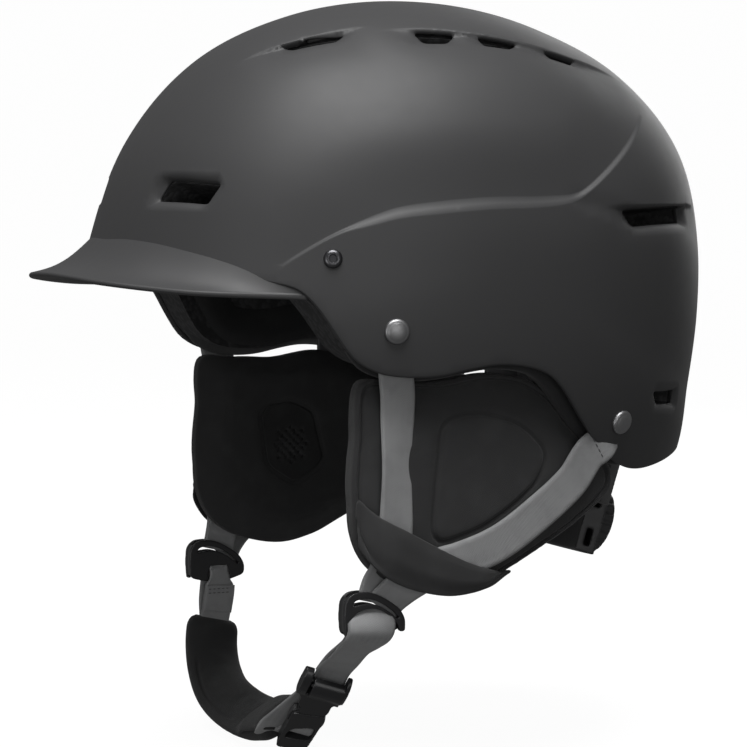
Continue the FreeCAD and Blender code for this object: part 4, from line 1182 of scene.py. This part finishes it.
# ---- ear pads ----
PAD_MID = np.array([-6.0, -70.0])
PAD_X = 86.0
PAD_RING_POINTS = 230
PAD_OUTLINE = [(-57.6, -32.5), (-58.6, -52), (-59.8, -76), (-58.6, -90), (-53.4, -101.5),
               (-45, -108.8), (-33, -113.6), (-18, -116), (-4, -113.5), (12, -106.5), (27, -98.5),
               (43, -88.5), (53, -80.5), (58, -73.5), (56, -65.5), (48, -57.5), (38, -47), (28, -36),
               (17, -29.5), (2, -27), (-20, -29.6), (-40, -29.4), (-54.5, -29.2)]
PANEL = [(-22, -46), (-6, -43), (13, -48), (25, -60), (20, -72), (9, -81), (-4, -89), (-27, -96)]
PATCH = [(-30, -56), (-26, -51), (-14, -49.5), (-3, -55), (2.5, -77), (-1, -82), (-13, -89), (-27, -80)]
PANEL_LOOP = rounded_loop(np.array(PANEL, float), 0.42, 1.1)
PATCH_LOOP = rounded_loop(np.array(PATCH, float), 0.3, 1.1)
PERFORATED_AT, PERFORATED_R, HOLE_R, HOLE_PITCH = np.array([-14.5, -70.0]), 8.6, 0.72, 1.95


def outline_radius(angle):
    s = np.array(PAD_OUTLINE, float) - PAD_MID
    a = np.degrees(np.arctan2(s[:, 1], s[:, 0])) % 360
    order = np.argsort(a)
    return curve_value(np.stack([a[order], np.hypot(*s[order].T)], -1), angle, 360)


def pad_share(yz):
    """0 in the pad's middle, 1 on its outline."""
    d = yz - PAD_MID
    return np.hypot(d[:, 0], d[:, 1]) / outline_radius(np.degrees(np.arctan2(d[:, 1], d[:, 0])))


def pad_ring(share):
    a = np.linspace(0, 360, PAD_RING_POINTS, endpoint=False)
    return PAD_MID + outline_radius(a)[:, None] * share * around(np.radians(a))


def offset_loop(loop, d):
    """Closed 2D loop moved outward by d."""
    t = unit(np.roll(loop, -1, 0) - np.roll(loop, 1, 0))
    n = np.stack([t[:, 1], -t[:, 0]], -1)
    middle = loop.mean(0)
    if ((loop - middle) * n).sum() < 0:
        n = -n
    return loop + n * d


def signed_gap(yz, loop):
    gap = loop_distance(yz, loop)
    return np.where(inside_loop(yz, loop), -gap, gap)


def outer_height(yz):
    rho = pad_share(yz)
    h = 4.4 + 3.0 * (1 - rho ** 4)
    h -= 0.9 * np.exp(-((rho - 0.945) / 0.011) ** 2)
    h += 0.5 * smooth((rho - 0.955) / 0.015) * (1 - smooth((rho - 0.972) / 0.013))
    gap = signed_gap(yz, PANEL_LOOP)
    return h - 1.0 * np.exp(-(gap / 0.75) ** 2) + 0.75 * smooth((-gap - 0.2) / 1.6)


def inner_height(yz):
    rho = pad_share(yz)
    flat = 7.0 - 1.9 * (1 - np.minimum(rho / 0.76, 1) ** 2)
    slope = 7.0 - 4.6 * np.clip((rho - 0.76) / 0.225, 0, 1) ** 1.1
    h = np.where(rho < 0.76, flat, slope) - 0.45 * np.exp(-((rho - 0.76) / 0.02) ** 2)
    gap = signed_gap(yz, PATCH_LOOP)
    return h - 0.8 * np.exp(-(gap / 0.8) ** 2) - 1.1 * smooth((-gap - 0.2) / 1.2)


def filled_skin(loops, step, holes=()):
    """Triangles over a plane region: loops[0] is its outline, the rest are lines to keep."""
    fixed, edges, total = [], [], 0
    for loop in list(loops) + list(holes):
        fixed.append(loop)
        edges += [(total + i, total + (i + 1) % len(loop)) for i in range(len(loop))]
        total += len(loop)
    fixed = np.vstack(fixed)
    lo, hi = fixed.min(0), fixed.max(0)
    gx, gy = np.meshgrid(np.arange(lo[0], hi[0], step), np.arange(lo[1], hi[1], step * 0.866))
    gx[1::2] += step / 2
    grid = np.stack([gx.ravel(), gy.ravel()], -1)
    grid = grid[inside_loop(grid, loops[0])]
    tree = tree_of(np.column_stack([fixed, np.zeros(len(fixed))]))
    grid = grid[[tree.find((*p, 0))[2] > 0.6 * step for p in grid]]
    flat, tris = triangulated(np.vstack([fixed, grid]), edges)
    middle = flat[tris].mean(1)
    keep = inside_loop(middle, loops[0])
    for hole in holes:
        keep &= ~inside_loop(middle, hole)
    tris = tris[keep]
    a, b, c = (flat[tris[:, k]] for k in range(3))
    turn = (b[:, 0] - a[:, 0]) * (c[:, 1] - a[:, 1]) - (b[:, 1] - a[:, 1]) * (c[:, 0] - a[:, 0])
    tris[turn < 0] = tris[turn < 0][:, ::-1]
    return flat, tris


def ear_pad_mesh():
    """Points and faces of the left ear pad."""
    edge = 0.985
    rings_out = [pad_ring(s) for s in (edge, 0.978, 0.97, 0.962, 0.953, 0.945, 0.937, 0.928, 0.91)]
    rings_in = [pad_ring(s) for s in (edge, 0.96, 0.92, 0.8, 0.775, 0.76, 0.745, 0.72)]
    fine = (-2.0, -1.3, -0.7, 0, 0.7, 1.3)
    flat_o, tris_o = filled_skin(rings_out + [offset_loop(PANEL_LOOP, d) for d in fine], 2.4)
    flat_i, tris_i = filled_skin(rings_in + [offset_loop(PATCH_LOOP, d) for d in fine], 2.4)
    x_o = PAD_X + outer_height(flat_o)
    x_i = PAD_X - inner_height(flat_i)
    outer = np.column_stack([x_o, flat_o])
    inner = np.column_stack([x_i, flat_i])
    count = len(rings_out[0])
    points = [outer, inner]
    base = len(outer)
    total = base + len(inner)
    rows = [np.arange(count)]
    top, low = x_o[:count], x_i[:count]
    for share, f in ((0.993, 0.05), (0.998, 0.13), (1.0, 0.25), (1.001, 0.5), (1.0, 0.75), (0.998, 0.88),
                     (0.993, 0.95)):
        ring = pad_ring(share)
        points.append(np.column_stack([top + (low - top) * f, ring]))
        rows.append(np.arange(total, total + count))
        total += count
    rows.append(base + np.arange(count))
    faces = [tuple(t) for t in tris_o] + [tuple(base + t[::-1]) for t in tris_i]
    for r0, r1 in zip(rows, rows[1:]):
        for j in range(count):
            k = (j + 1) % count
            faces.append((r0[j], r1[j], r1[k], r0[k]))
    return np.vstack(points), faces


def cloth_sheet(name, grid, thick, material, body="helmet", flip=False):
    """Closed sheet of cloth from a grid of points, with rolled edges."""
    grid = np.asarray(grid, float)
    n, m = grid.shape[:2]
    quads = rows_to_faces(n, m)
    tris = np.array([(a, b, c) for a, b, c, d in quads] + [(a, c, d) for a, b, c, d in quads])
    if flip:
        tris = tris[:, ::-1]
    points, faces = thickened(grid.reshape(-1, 3), tris, thick,
                              lambda p: [(0.3 * thick, 0.12 * thick), (0.5 * thick, 0.5 * thick),
                                         (0.3 * thick, 0.88 * thick)])
    return new_piece(name, points, faces, material, body)


SLEEVE_TOP = [(-56.2, -76.4), (-53, -80), (-48, -84), (-36, -90.5), (-23, -97.5), (-10, -103.5),
              (4, -107.5), (9, -107)]
SLEEVE_LOW = [(-57.0, -88), (-55.6, -95), (-50.6, -102.4), (-43, -108), (-31, -112.4),
              (-17, -114.4), (0, -111.5), (9, -107.6)]


def flat_path(stations, count):
    return smooth_path([(0, y, z) for y, z in stations], count)[:, 1:]


def sleeve_grid():
    count, rows = 56, 17
    top, low = flat_path(SLEEVE_TOP, count), flat_path(SLEEVE_LOW, count)
    grid = []
    for i in range(count):
        t = i / (count - 1)
        s = np.linspace(0, 1, rows)[:, None]
        yz = top[i] * (1 - s) + low[i] * s
        rest = PAD_X + outer_height(yz) + 0.7
        over = smooth(t / 0.30) * smooth((1 - t) / 0.24)
        dome_over = 98.7 - 1.6 * smooth((s[:, 0] - 0.55) / 0.45) - 0.5 * smooth((0.16 - s[:, 0]) / 0.16)
        x = rest * (1 - over) + np.maximum(dome_over, rest) * over
        grid.append(np.column_stack([x, yz]))
    return np.array(grid)


def build_ear_pads():
    points, faces = ear_pad_mesh()
    field = swell(points, faces, 4.5, 1.2)
    points = points + field(points)
    holes = []
    reach = int(PERFORATED_R / HOLE_PITCH) + 1
    for i in range(-reach, reach + 1):
        for j in range(-reach, reach + 1):
            at = HOLE_PITCH * np.array([i, j], float)
            if (i + j) % 2 or np.hypot(*at) > PERFORATED_R:
                continue
            holes.append(PERFORATED_AT + at + HOLE_R * around(2 * math.pi * np.arange(8) / 8))
    flat, tris = filled_skin([offset_loop(PATCH_LOOP, d) for d in (-1.6, -2.4)], 1.5, holes)
    x = PAD_X - inner_height(flat) - 0.55
    mesh_skin = np.column_stack([x, flat])
    mesh_skin += field(mesh_skin)

    def patch_edge(loop):
        return [(0.12, 0.05), (0.12, 0.45)] if len(loop) > 12 else [(0, 0.25)]

    mesh_points, mesh_faces = thickened(mesh_skin, tris[:, ::-1], 0.5, patch_edge)
    sleeve = sleeve_grid()
    seam = sleeve[3:-4, 1] + [0.15, 0, 0]
    for side, tag in SIDES:
        pad = new_piece("ear_pad_cloth_" + tag, sided(points, side), faces, PAD_CLOTH)
        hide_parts("ear_pad_" + tag, "ear_panel_" + tag)
        mesh = new_piece("ear_mesh_patch_" + tag, sided(mesh_points, side), mesh_faces, MESH_CLOTH)
        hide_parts("ear_mesh_" + tag)
        wrap = cloth_sheet("ear_sleeve_cloth_" + tag, sided(sleeve, side), 1.2, PAD_CLOTH,
                           flip=side > 0)
        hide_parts("ear_sleeve_" + tag)
        stitches("sleeve_stitch_" + tag, sided(seam, side), "helmet", 2.0, 1.0, 0.22, side * X_AXIS)


# ---- chin strap ----
BUCKLE_AT = np.array([43, -50.5, -156.5])
BUCKLE_END = np.array([12, -51.7, -186.0])
DOWN = unit(BUCKLE_END - BUCKLE_AT)
ACROSS = np.array([0.22, 0.92, -0.32])
ACROSS = unit(ACROSS - DOWN * (ACROSS @ DOWN))
FACE = unit(np.cross(DOWN, ACROSS))
PAD_PATH = [(-85.4, -50.2, -147.6), (-81.2, -52.8, -158.6), (-72, -54.8, -169), (-57, -56, -177),
            (-38, -54.3, -181.6), (-18, -52.2, -182.0), (-4, -51.6, -179.9), (5.5, -51.4, -178.0)]
PAD_ROLL = [(0, -18), (0.23, 2), (0.46, 24), (0.7, 30), (1, 28)]
CHIN_PAD_W, CHIN_PAD_T = 24.0, 8.5
FLAP_FROM, FLAP_TO = 0.72, 1.02          # share of the pad's length the folded cover reaches over
TURN_COUNT = 15                          # points of the webbing's turn round the buckle's bar


def leaning(degrees):
    """Width directions of a band that leans by these angles about X."""
    a = np.radians(degrees)
    return np.stack([0 * a, np.cos(a), np.sin(a)], -1)


def rolled(count, rolls):
    return leaning(spread(rolls, count))


def blended(a, b, ease):
    ease = np.clip(ease, 0, 1)[:, None]
    return unit(a * (1 - ease) + b * ease)


def round_bar(centre, radius, sweep, count):
    """Points round a buckle bar, from -FACE towards DOWN through sweep degrees."""
    a = np.radians(np.linspace(0, sweep, count))
    return [centre + radius * (-FACE * math.cos(q) + DOWN * math.sin(q)) for q in a]


def buckle_point(u, v, w):
    """Point by distance across the buckle, down it, and out of its face."""
    return BUCKLE_AT + ACROSS * u + DOWN * v + FACE * w


SHROUD = [(-3.4, 0.5), (-3.4, 2.6), (-2.0, 4.4), (0.6, 5.4), (3.6, 5.3), (5.8, 4.3), (7.0, 3.1), (9.6, 2.9),
          (9.6, -2.2), (6.2, -2.2), (5.1, 1.4), (4.0, 3.5), (1.0, 4.0), (-1.5, 3.3), (-2.6, 2.0), (-2.6, 0.5)]
LOBE = [(-7.2, -0.6), (-6.6, 1.6), (-4.6, 3.5), (-1.2, 4.4), (3.0, 4.4), (6.2, 3.6), (8.2, 1.6), (8.2, -1.6),
        (5.0, -3.0), (-4.6, -3.0)]
TAB_EDGE = [(5.4, 18.6), (7.2, 19.4), (7.8, 23.0), (7.2, 26.6), (5.4, 27.4)]
PLUG_BODY = [(-9.3, 5.0), (10.0, 4.6), (9.0, 7.2), (6.8, 9.2), (6.8, 17.0), (-4.9, 19.4), (-4.6, 15.0),
             (-6.6, 13.4), (-6.7, 8.6)]
SOCKET_BODY = [(-6.9, 20.0), (-4.6, 19.2), (7.0, 16.8), (6.7, 23.5), (6.3, 33.4), (5.8, 41.6), (-0.8, 43.2),
               (-6.8, 44.6), (-6.8, 33)]
SOCKET_WINDOW = [(-5.1, 36.8), (-5.1, 33.6), (-3.6, 30.0), (2.0, 27.0), (5.3, 26.2), (5.1, 35.0), (0.4, 36.2)]


def buckle_prism(outline, low, high, holes=(), across=False):
    """Prism of the buckle: an outline in its face, or a section carried across it."""
    points, faces = slab(outline, holes, low, high, 0.4, 0.6)
    a, b, c = points[:, :1], points[:, 1:2], points[:, 2:]
    return (buckle_point(a, b, c) if across else buckle_point(b, c, a)), faces


def build_buckle():
    bar = [(1.5 * math.cos(a), 1.5 * math.sin(a)) for a in np.linspace(0, 2 * math.pi, 13)[:-1]]
    carried = [(SHROUD, -4.7, 9.3), (LOBE, -9.5, -6.0), (LOBE, 8.7, 10.3), (bar, -9.0, 10.0)]
    plug = [buckle_prism(*c, across=True) for c in carried] + [buckle_prism(PLUG_BODY, -2.2, 3.4)]
    ob = fused_piece("buckle_plug_moulded", plug, GLOSS, "chin_loop", 0.3, 6)
    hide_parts("buckle_plug")
    socket = [buckle_prism(SOCKET_BODY, -2.3, 3.7, [SOCKET_WINDOW])]
    ob = fused_piece("buckle_socket_moulded", socket, GLOSS, "chin_loop", 0.3, 6)
    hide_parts("buckle_socket")
    for tag, side in (("front", -1), ("rear", 1)):
        edge = [(side * u, v) for u, v in TAB_EDGE][::side]
        ob = fused_piece("buckle_tab_moulded_" + tag, [buckle_prism(edge, -1.0, 2.2)], GRIP, "tab_" + tag,
                         0.25, 3)
        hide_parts("buckle_tab_" + tag)


def build_chin_webbing():
    into = BUCKLE_AT + ACROSS * 1.8
    run = smooth_path([(86.9, -49.6, -118.9), (89.4, -49.8, -121.4), (91.9, -50.3, -125.0),
                       (92.2, -51.0, -128.6), (89.9, -51.8, -131.7), (84.6, -52.2, -134.2),
                       (75, -51.4, -138.0), (62, -49.8, -144.2), into - FACE * 2.3 - DOWN * 7,
                       into - FACE * 2.3 - DOWN * 0.5], 84)
    tail = smooth_path([into - FACE * 4.0 - DOWN * 3, (61.2, -49.8, -142.5), (74.2, -51.4, -136.3),
                        (80.6, -51.9, -132.6), (83.0, -51.2, -128.4), (84.4, -50.1, -123.6),
                        (86.0, -49.6, -118.9)], 60)
    path = np.vstack([tail, run, np.array(round_bar(into, 2.25, 190, TURN_COUNT))])
    gap = np.linalg.norm(path - BUCKLE_AT, axis=1)
    share = np.concatenate([-np.linspace(1, 0, len(tail)), np.linspace(0, 1, len(run)),
                            np.ones(TURN_COUNT)])
    lean = leaning(curve_value([(-1, -14), (-0.3, -10), (0, 0), (0.15, -3), (0.4, -13), (1, -14)],
                               share))
    dirs = blended(lean, ACROSS, 1 - smooth((gap - 4) / 30))
    wide = curve_value([(-1, CHIN_WEB_W), (-0.5, CHIN_WEB_W), (-0.2, 12.5), (0, 16), (0.09, 20.2),
                        (0.2, 19.6), (0.34, 16.0), (0.5, CHIN_WEB_W), (1, CHIN_WEB_W)], share)
    cup = np.outer(-1.5 * np.exp(-((share - 0.14) / 0.10) ** 2), X_AXIS)
    web = band("chin_webbing_left", path, dirs, wide, CHIN_WEB_T, "chin_loop", cup)
    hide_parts("chin_web_left")

    run = smooth_path([(-86.0, -48.3, -120.6), (-84.9, -48.2, -123.4), (-83.3, -48.1, -126.6),
                       (-82.9, -48.1, -131), (-83.4, -48.5, -137), (-83.9, -49.6, -145),
                       (-83.2, -51.2, -152), (-80.8, -53, -159.5)], 60)
    tail = smooth_path([(-87.0, -49.4, -150), (-88.3, -49.2, -141), (-88.6, -48.7, -133.2),
                        (-88.9, -48.5, -128), (-88.3, -48.4, -123.6), (-86.9, -48.3, -120.6)], 40)
    path = np.vstack([tail, run])
    share = np.concatenate([-np.linspace(1, 0, len(tail)), np.linspace(0, 1, len(run))])
    lean = leaning(curve_value([(-1, -8), (0, 0), (0.5, -3), (0.8, -12), (1, -14)], share))
    wide = curve_value([(-1, CHIN_WEB_W), (-0.5, CHIN_WEB_W), (0, 10.5), (0.1, 9.0), (0.24, 9.8),
                        (0.32, CHIN_WEB_W), (1, CHIN_WEB_W)], share)
    web = band("chin_webbing_right", path, lean, wide, CHIN_WEB_T, "chin_loop")
    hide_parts("chin_web_right")
    flap = smooth_path([(-82.0, -48.2, -132.6), (-82.2, -48.5, -137), (-82.8, -49.6, -144.6)], 20)
    band("chin_webbing_flap", flap, rolled(20, [(0, -2), (1, -6)]), 14.2, 1.1, "chin_loop")
    for k, z in enumerate((-134.2, -136.0)):
        line = [(-81.45, y, z) for y in np.linspace(-54, -43.2, 7)]
        stitches("chin_stitch_right_%d" % k, line, "chin_loop", 1.5, 0.6, 0.24, X_AXIS)

    path = smooth_path([(-14, -52, -181.4), (-6, -51.9, -181.6), (1, -52.2, -183.4),
                        buckle_point(-3, 43.5, -4.2), buckle_point(-0.5, 39.0, -3.2),
                        buckle_point(0, 35.8, -0.2), buckle_point(0, 31.8, 2.2),
                        buckle_point(0, 28.0, 2.2)], 90)
    lean = rolled(len(path), [(0, 24), (0.2, 12), (1, -17)])
    dirs = blended(lean, ACROSS, smooth(np.linspace(-0.1, 1.9, len(path))))
    wide = spread([(0, 15), (0.3, 17), (0.5, 13), (0.6, 11.0), (1, 10.6)], len(path))
    web = band("chin_webbing_buckle", path, dirs, wide, CHIN_WEB_T, "chin_loop")
    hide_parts("chin_web_buckle")
    path = smooth_path([(-4, -53.0, -182.4), buckle_point(-8.5, 47.0, -5.2),
                        buckle_point(-8.4, 40.0, -4.4), buckle_point(-7.4, 29.0, -3.8),
                        buckle_point(-6.2, 20.0, -3.4), buckle_point(-4.6, 12.0, -3.2)], 60)
    wide = spread([(0, 14), (0.3, 15), (0.5, 11.5), (0.75, 8), (1, 6)], len(path))
    dirs = blended(rolled(len(path), [(0, 8), (1, -17)]), ACROSS,
                   smooth(np.linspace(-0.2, 2.4, len(path))))
    band("chin_webbing_tail", path, dirs, wide, CHIN_WEB_T, "chin_loop")


def build_chin_pad():
    count, round_count = 96, 88
    path = smooth_path(PAD_PATH, count)
    t = unit(np.gradient(path, axis=0))
    w = square_to(rolled(count, PAD_ROLL), t)
    n = np.cross(t, w)
    run = run_along(path)
    a = 2 * math.pi * np.arange(round_count) / round_count
    power = 0.62
    sx = np.sign(np.cos(a)) * np.abs(np.cos(a)) ** power
    sy = np.sign(np.sin(a)) * np.abs(np.sin(a)) ** power
    points = []
    for i in range(count):
        e = min(run[i], run[-1] - run[i])
        end = math.sqrt(max(0.004, 1 - (1 - min(e / 6.0, 1)) ** 2))
        wide = CHIN_PAD_W / 2 * (1 - 0.30 * (1 - end))
        deep = CHIN_PAD_T / 2 * end
        s = run[i] / run[-1]
        mark = 1.0 * np.exp(-((sx + 0.70) / 0.05) ** 2) * (sy * side_in(n[i]) > 0) * smooth((s - 0.2) / 0.05)
        mark = mark * (1 - smooth((s - 0.63) / 0.04))
        points.append(path[i] + w[i] * (sx * wide)[:, None]
                      + n[i] * (sy * deep - np.sign(sy) * mark)[:, None])
    faces = tube_faces(count, round_count)
    points = np.vstack(points)
    field = swell(points, faces, 3.4, 1.0)
    points = points + field(points)
    pad = new_piece("chin_pad_cloth", points, faces, CHIN_CLOTH, "chin_loop")
    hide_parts("chin_pad")
    # The cover's end folds back over the pad as a fuller lobe that runs past the pad's end.
    grid = []
    for u in np.linspace(0, 1, 26):
        row = []
        for v in np.linspace(-1, 1, 27):
            first = FLAP_FROM + 0.05 * (v + 1) / 2
            s = first + u * (FLAP_TO - first)
            i = min(s, 1.0) * (count - 1)
            j = min(int(i), count - 2)
            f = i - j
            at = path[j] * (1 - f) + path[j + 1] * f + t[-1] * max(0.0, s - 1) * run[-1]
            ww = w[j] * (1 - f) + w[j + 1] * f
            nn = n[j] * side_in(n[j])
            end = math.sqrt(max(0.0, 1 - max(0.0, 1 - (FLAP_TO - s) * run[-1] / 7.0) ** 2))
            lift = 0.9 + 3.0 * smooth(u / 0.3) * end
            high = (CHIN_PAD_T / 2 - 0.5) * (0.25 + 0.75 * end) * max(0.0, 1 - abs(v) ** 3.2) ** 0.6
            row.append(at + ww * v * 12.5 * (0.62 + 0.38 * end) + nn * (high + lift))
        grid.append(row)
    flap = cloth_sheet("chin_pad_flap", grid, 1.6, CHIN_CLOTH, "chin_loop", flip=True)


def side_in(normal):
    """1 if a normal points in towards the chin, -1 if it points away."""
    return 1.0 if normal[2] > 0 else -1.0


# ---- rivets and screws ----
RIVET_HEAD = [(0, 2.45), (1.5, 2.40), (2.8, 2.18), (3.6, 1.86), (3.95, 1.62), (4.1, 1.62), (4.6, 1.25),
              (4.95, 0.7), (5.0, 0.25), (4.85, -0.2), (2.2, -0.3), (2.2, -3.2)]
SCREW_HEAD = [(0, 0.55), (1.5, 0.55), (1.62, 0.7), (1.7, 1.5), (1.95, 1.58), (2.6, 1.45),
              (3.2, 1.1), (3.55, 0.6), (3.7, 0.1), (3.6, -0.2), (1.6, -0.3), (1.6, -3.0)]
SCREW_AT = (-69, 18)


def build_studs():
    marks = dict(RIVETS, brow_screw=SCREW_AT)
    for name, (y, z) in marks.items():
        profile = SCREW_HEAD if name == "brow_screw" else RIVET_HEAD
        material = SCREW if name == "brow_screw" else STEEL
        p = moulded(onto_dome([[50, y, z]], 0))[0]
        n = dome_normals(p[None])[0]
        a = unit(np.cross(n, [0, 0, 1.0]))
        b = np.cross(n, a)
        count = 48
        turn = 2 * math.pi * np.arange(count) / count
        points = []
        for r, h in profile:
            rr = np.full(count, float(r))
            if name == "brow_screw" and 1.4 < r < 1.66:
                rr = r * 0.94 / np.cos((turn + math.pi / 6) % (math.pi / 3) - math.pi / 6)
            points.append(p + n * h + a * (rr * np.cos(turn))[:, None] + b * (rr * np.sin(turn))[:, None])
        points = np.vstack(points)
        faces = rows_to_faces(len(profile), count, False, True)
        faces.append(tuple((len(profile) - 1) * count + k for k in range(count)))
        for side, tag in SIDES:
            stud = new_piece("%s_head_%s" % (name, tag), sided(points, side), faces, material)
            stud.data.set_sharp_from_angle(angle=math.radians(50))
            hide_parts("%s_%s" % (name, tag))


def build_hardware():
    for _, tag in SIDES:
        moulded_from("arm_guide_moulded_" + tag, "arm_guide_" + tag, PLASTIC, "helmet", 0.5, 3)
        moulded_from("guide_stay_moulded_" + tag, "guide_stay_" + tag, PLASTIC, "helmet", 0.5, 3)
    moulded_from("dial_moulded", "dial", GRIP, "dial_knob", 0.4, 4)
    moulded_from("dial_housing_moulded", "dial_housing", PLASTIC, "helmet", 0.5, 4)
    frame_looks = {"foam_liner": FOAM, "ear_clip": PLASTIC, "rack_arm": PLASTIC, "dial_pinion": GRIP,
                   "dial_collar": PLASTIC, "dial_hanger": PLASTIC}
    for name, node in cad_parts.items():
        for start, material in frame_looks.items():
            if name.startswith(start):
                node.data.materials.clear()
                node.data.materials.append(material)


def build_lining():
    stuffed_from("brow_pad_cloth", "brow_pad", [(0, x) for x in (-44, -22, 0, 22, 44)])
    stuffed_from("crown_pad_cloth", "crown_pad", [(0, -12), (0, 12), (1, 5)])
    for _, tag in SIDES:
        stuffed_from("side_pad_cloth_" + tag, "side_pad_" + tag, [(1, 5)])
    stuffed_from("nape_pad_cloth", "nape_pad", [(0, -15), (0, 15)])


# ---- camera, light and floor ----
VIEW_AZIMUTH, VIEW_ELEVATION = 66.0, 3.8
VIEW_TARGET = Vector((0, -9.25, -33.45)) * MM
VIEW_DISTANCE = 1159 * MM
LENS = 131.3
LIGHT_TARGET = (0, 0, -0.03)


def aim(ob, target):
    ob.rotation_euler = (Vector(target) - ob.location).to_track_quat("-Z", "Y").to_euler()


def build_camera():
    a, e = math.radians(VIEW_AZIMUTH), math.radians(VIEW_ELEVATION)
    back = Vector((math.sin(a) * math.cos(e), -math.cos(a) * math.cos(e), math.sin(e)))
    cam = bpy.data.cameras.new("camera")
    cam.lens, cam.sensor_width = LENS, 36
    ob = new_object("camera", cam)
    ob.location = VIEW_TARGET + back * VIEW_DISTANCE
    aim(ob, VIEW_TARGET)
    cam.clip_start, cam.clip_end = 0.05, 50
    bpy.context.scene.camera = ob


def area_light(name, place, size, power):
    data = bpy.data.lights.new(name, "AREA")
    data.shape, data.size, data.energy = "SQUARE", size, power
    ob = new_object(name, data)
    ob.location = place
    aim(ob, LIGHT_TARGET)


def build_stage():
    """Pale floor that sweeps up into a backdrop on every side, with soft light from above."""
    low = cad_box[0].z - 0.0012
    rings = [(0.0, 0.0), (1.6, 0.0), (2.2, 0.05), (2.6, 0.25), (2.8, 0.6), (2.9, 1.1), (2.95, 2.4)]
    count = 64
    points, faces = [], []
    for r, h in rings[1:]:
        for k in range(count):
            a = 2 * math.pi * k / count
            points.append((r * math.cos(a), r * math.sin(a), low + h))
    faces.append(tuple(range(count)))
    for i in range(len(rings) - 2):
        for k in range(count):
            j = (k + 1) % count
            faces.append((i * count + k, (i + 1) * count + k, (i + 1) * count + j, i * count + j))
    me = bpy.data.meshes.new("floor")
    me.from_pydata(points, [], faces)
    me.shade_smooth()
    floor = new_object("floor", me)
    s = Shader("pale_floor", (0.10, 0.10, 0.10), 0.9, spec=0.0)
    s.tint(s.noise(300.0, 1.0), (0.11, 0.11, 0.11), 0.5)
    s.coat_of(Emission_Color=(1, 1, 1, 1), Emission_Strength=0.95)
    me.materials.append(s.done())
    # The glowing floor is seen, but doesn't light the helmet from below.
    floor.visible_diffuse = floor.visible_glossy = False
    world = bpy.data.worlds.new("studio")
    world.use_nodes = True
    world.node_tree.nodes["Background"].inputs[0].default_value = (1, 1, 1, 1)
    world.node_tree.nodes["Background"].inputs[1].default_value = 0.15
    bpy.context.scene.world = world
    area_light("top_soft", (0.42, -0.28, 1.40), 1.1, 37)
    area_light("low_fill", (0.75, -1.35, -0.10), 0.6, 3.6)
    area_light("side_fill", (1.35, -0.20, 0.08), 0.6, 2.2)
    area_light("rear_rim", (-0.9, 1.15, 0.45), 0.9, 6.0)
    bpy.context.scene.view_settings.view_transform = "Standard"


build_camera()
build_stage()
build_shell()
build_brim()
build_liner_edge()
for side, tag in SIDES:
    build_harness(side, tag)
build_ear_pads()
for side, tag in SIDES:
    build_divider(side, tag)
build_buckle()
build_chin_webbing()
build_chin_pad()
build_studs()
build_hardware()
build_lining()
